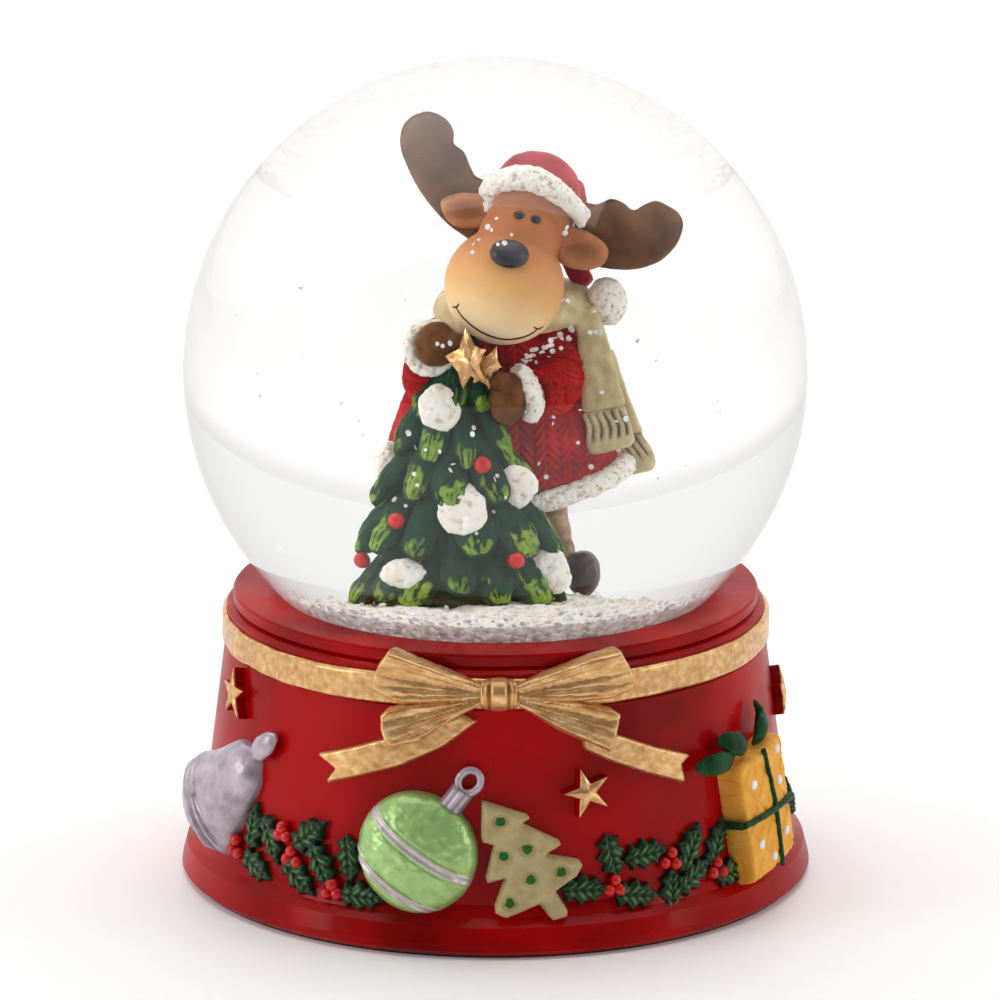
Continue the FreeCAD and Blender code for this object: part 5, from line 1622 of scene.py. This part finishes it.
add_ball()
add_liquid()
add_snow()
add_head()
add_antlers()
add_ears()
add_hat()
add_coat()
add_fur_trim()
add_mittens()
add_scarf()
add_legs()
fir = add_tree()
fir_skin = BVHTree.FromPolygons(as_list(fir[0]), fir[1])
add_tree_snow(fir_skin)
add_tree_baubles(fir_skin)
add_topper()
add_ribbon_band()
add_bow()
add_stars()
add_holly()
add_ornaments()
add_cookie()
add_gifts()
add_bell()


def figure_skin():
    """Everything of the figure as one surface for flakes to land on."""
    names = (
        "moose_head_skin", "coat_knit", "scarf_cloth", "fir", "fir_snow", "hat_fur", "mitten_pair",
        "moose_nose",
    )
    forms = []
    for name in names:
        points, faces = read_mesh(bpy.data.objects[name].data)
        forms.append((points / MM, faces))
    points, faces = join(forms)
    return BVHTree.FromPolygons(as_list(points), faces)


loose = flakes_on_snow() + flakes_on_glass() + flakes_afloat() + flakes_on_figure(figure_skin())
piece("silver_flakes", join(loose), "flake_silver", replaces=["snow_flakes"], smooth=False)


def dress_cad_nodes():
    """Paint every CAD node by the slot that its record gives."""
    for part in frame["record"]["subparts"]:
        node = frame["nodes"][part["node"]]
        node.data.materials.clear()
        node.data.materials.append(materials[part["material_slot"]])


dress_cad_nodes()


# ------------------------------------------------------------------ floor, light and camera

def add_floor():
    """Pale paper, lit from behind further back so that it meets the surroundings evenly."""
    mesh = bpy.data.meshes.new("floor")
    mesh.from_pydata([(-20, -20, 0), (20, -20, 0), (20, 20, 0), (-20, 20, 0)], [], [(0, 1, 2, 3)])
    floor = bpy.data.objects.new("floor", mesh)
    bpy.context.scene.collection.objects.link(floor)
    material, tree, shader = new_material("floor_paper")
    paper = fade(tree, noise_node(tree, 1.6, 3.0), 0.3, 0.7, rgb(246, 244, 244), rgb(252, 251, 250))
    feed(tree, shader, Base_Color=paper)
    glow = fade(tree, place_axes(tree)["Y"], 0.1, 0.7, (0.07, 0.07, 0.07, 1), (0.3, 0.3, 0.3, 1))
    feed(tree, shader, Emission_Color=glow)
    settle(shader, Roughness=0.6, Emission_Strength=1.0)
    mesh.materials.append(material)


def add_light(name, place, aim, size, power, colour=(1, 1, 1)):
    data = bpy.data.lights.new(name, "AREA")
    data.shape = "RECTANGLE"
    data.size, data.size_y = size
    data.energy = power
    data.color = colour
    light = bpy.data.objects.new(name, data)
    light.location = place
    light.rotation_mode = "QUATERNION"
    light.rotation_quaternion = (Vector(aim) - Vector(place)).to_track_quat("-Z", "Y")
    bpy.context.scene.collection.objects.link(light)


def add_world():
    """Pale surroundings behind and beside the object, and a dim room in front, mirrored faintly."""
    world = bpy.data.worlds.new("studio")
    world.use_nodes = True
    tree = world.node_tree
    across = scaled(tree, place_axes(tree, "Generated")["Y"], 0.5, 0.5)
    levels = [(0.0, 0.16), (0.4, 0.3), (0.62, 0.94), (1.0, 1.0)]
    grey = ramp(tree, across, [(place, (level, level, level, 1)) for place, level in levels])
    tree.links.new(grey, tree.nodes["Background"].inputs["Color"])
    tree.nodes["Background"].inputs["Strength"].default_value = 1.0
    bpy.context.scene.world = world


def add_camera():
    data = bpy.data.cameras.new("camera")
    data.lens = 246.8
    data.sensor_width = 36.0
    data.clip_start = 0.02
    data.clip_end = 100.0
    camera = bpy.data.objects.new("camera", data)
    place = Vector((0.0, -1.0664, 0.3397))
    aim = Vector((0.00072, 0.0, 0.0609))
    camera.location = place
    camera.rotation_mode = "QUATERNION"
    camera.rotation_quaternion = (aim - place).to_track_quat("-Z", "Y")
    bpy.context.scene.collection.objects.link(camera)
    bpy.context.scene.camera = camera


add_floor()
add_world()
add_light("over", (0.0, 0.3, 1.25), (0, 0.25, 0), (1.5, 1.3), 8.0)
add_light("left", (-0.95, -0.35, 0.4), (0, 0, 0.06), (0.35, 0.6), 3.0)
add_light("right", (0.95, -0.3, 0.35), (0, 0, 0.06), (0.3, 0.5), 1.5)
add_camera()
bpy.context.scene.view_settings.view_transform = "Standard"
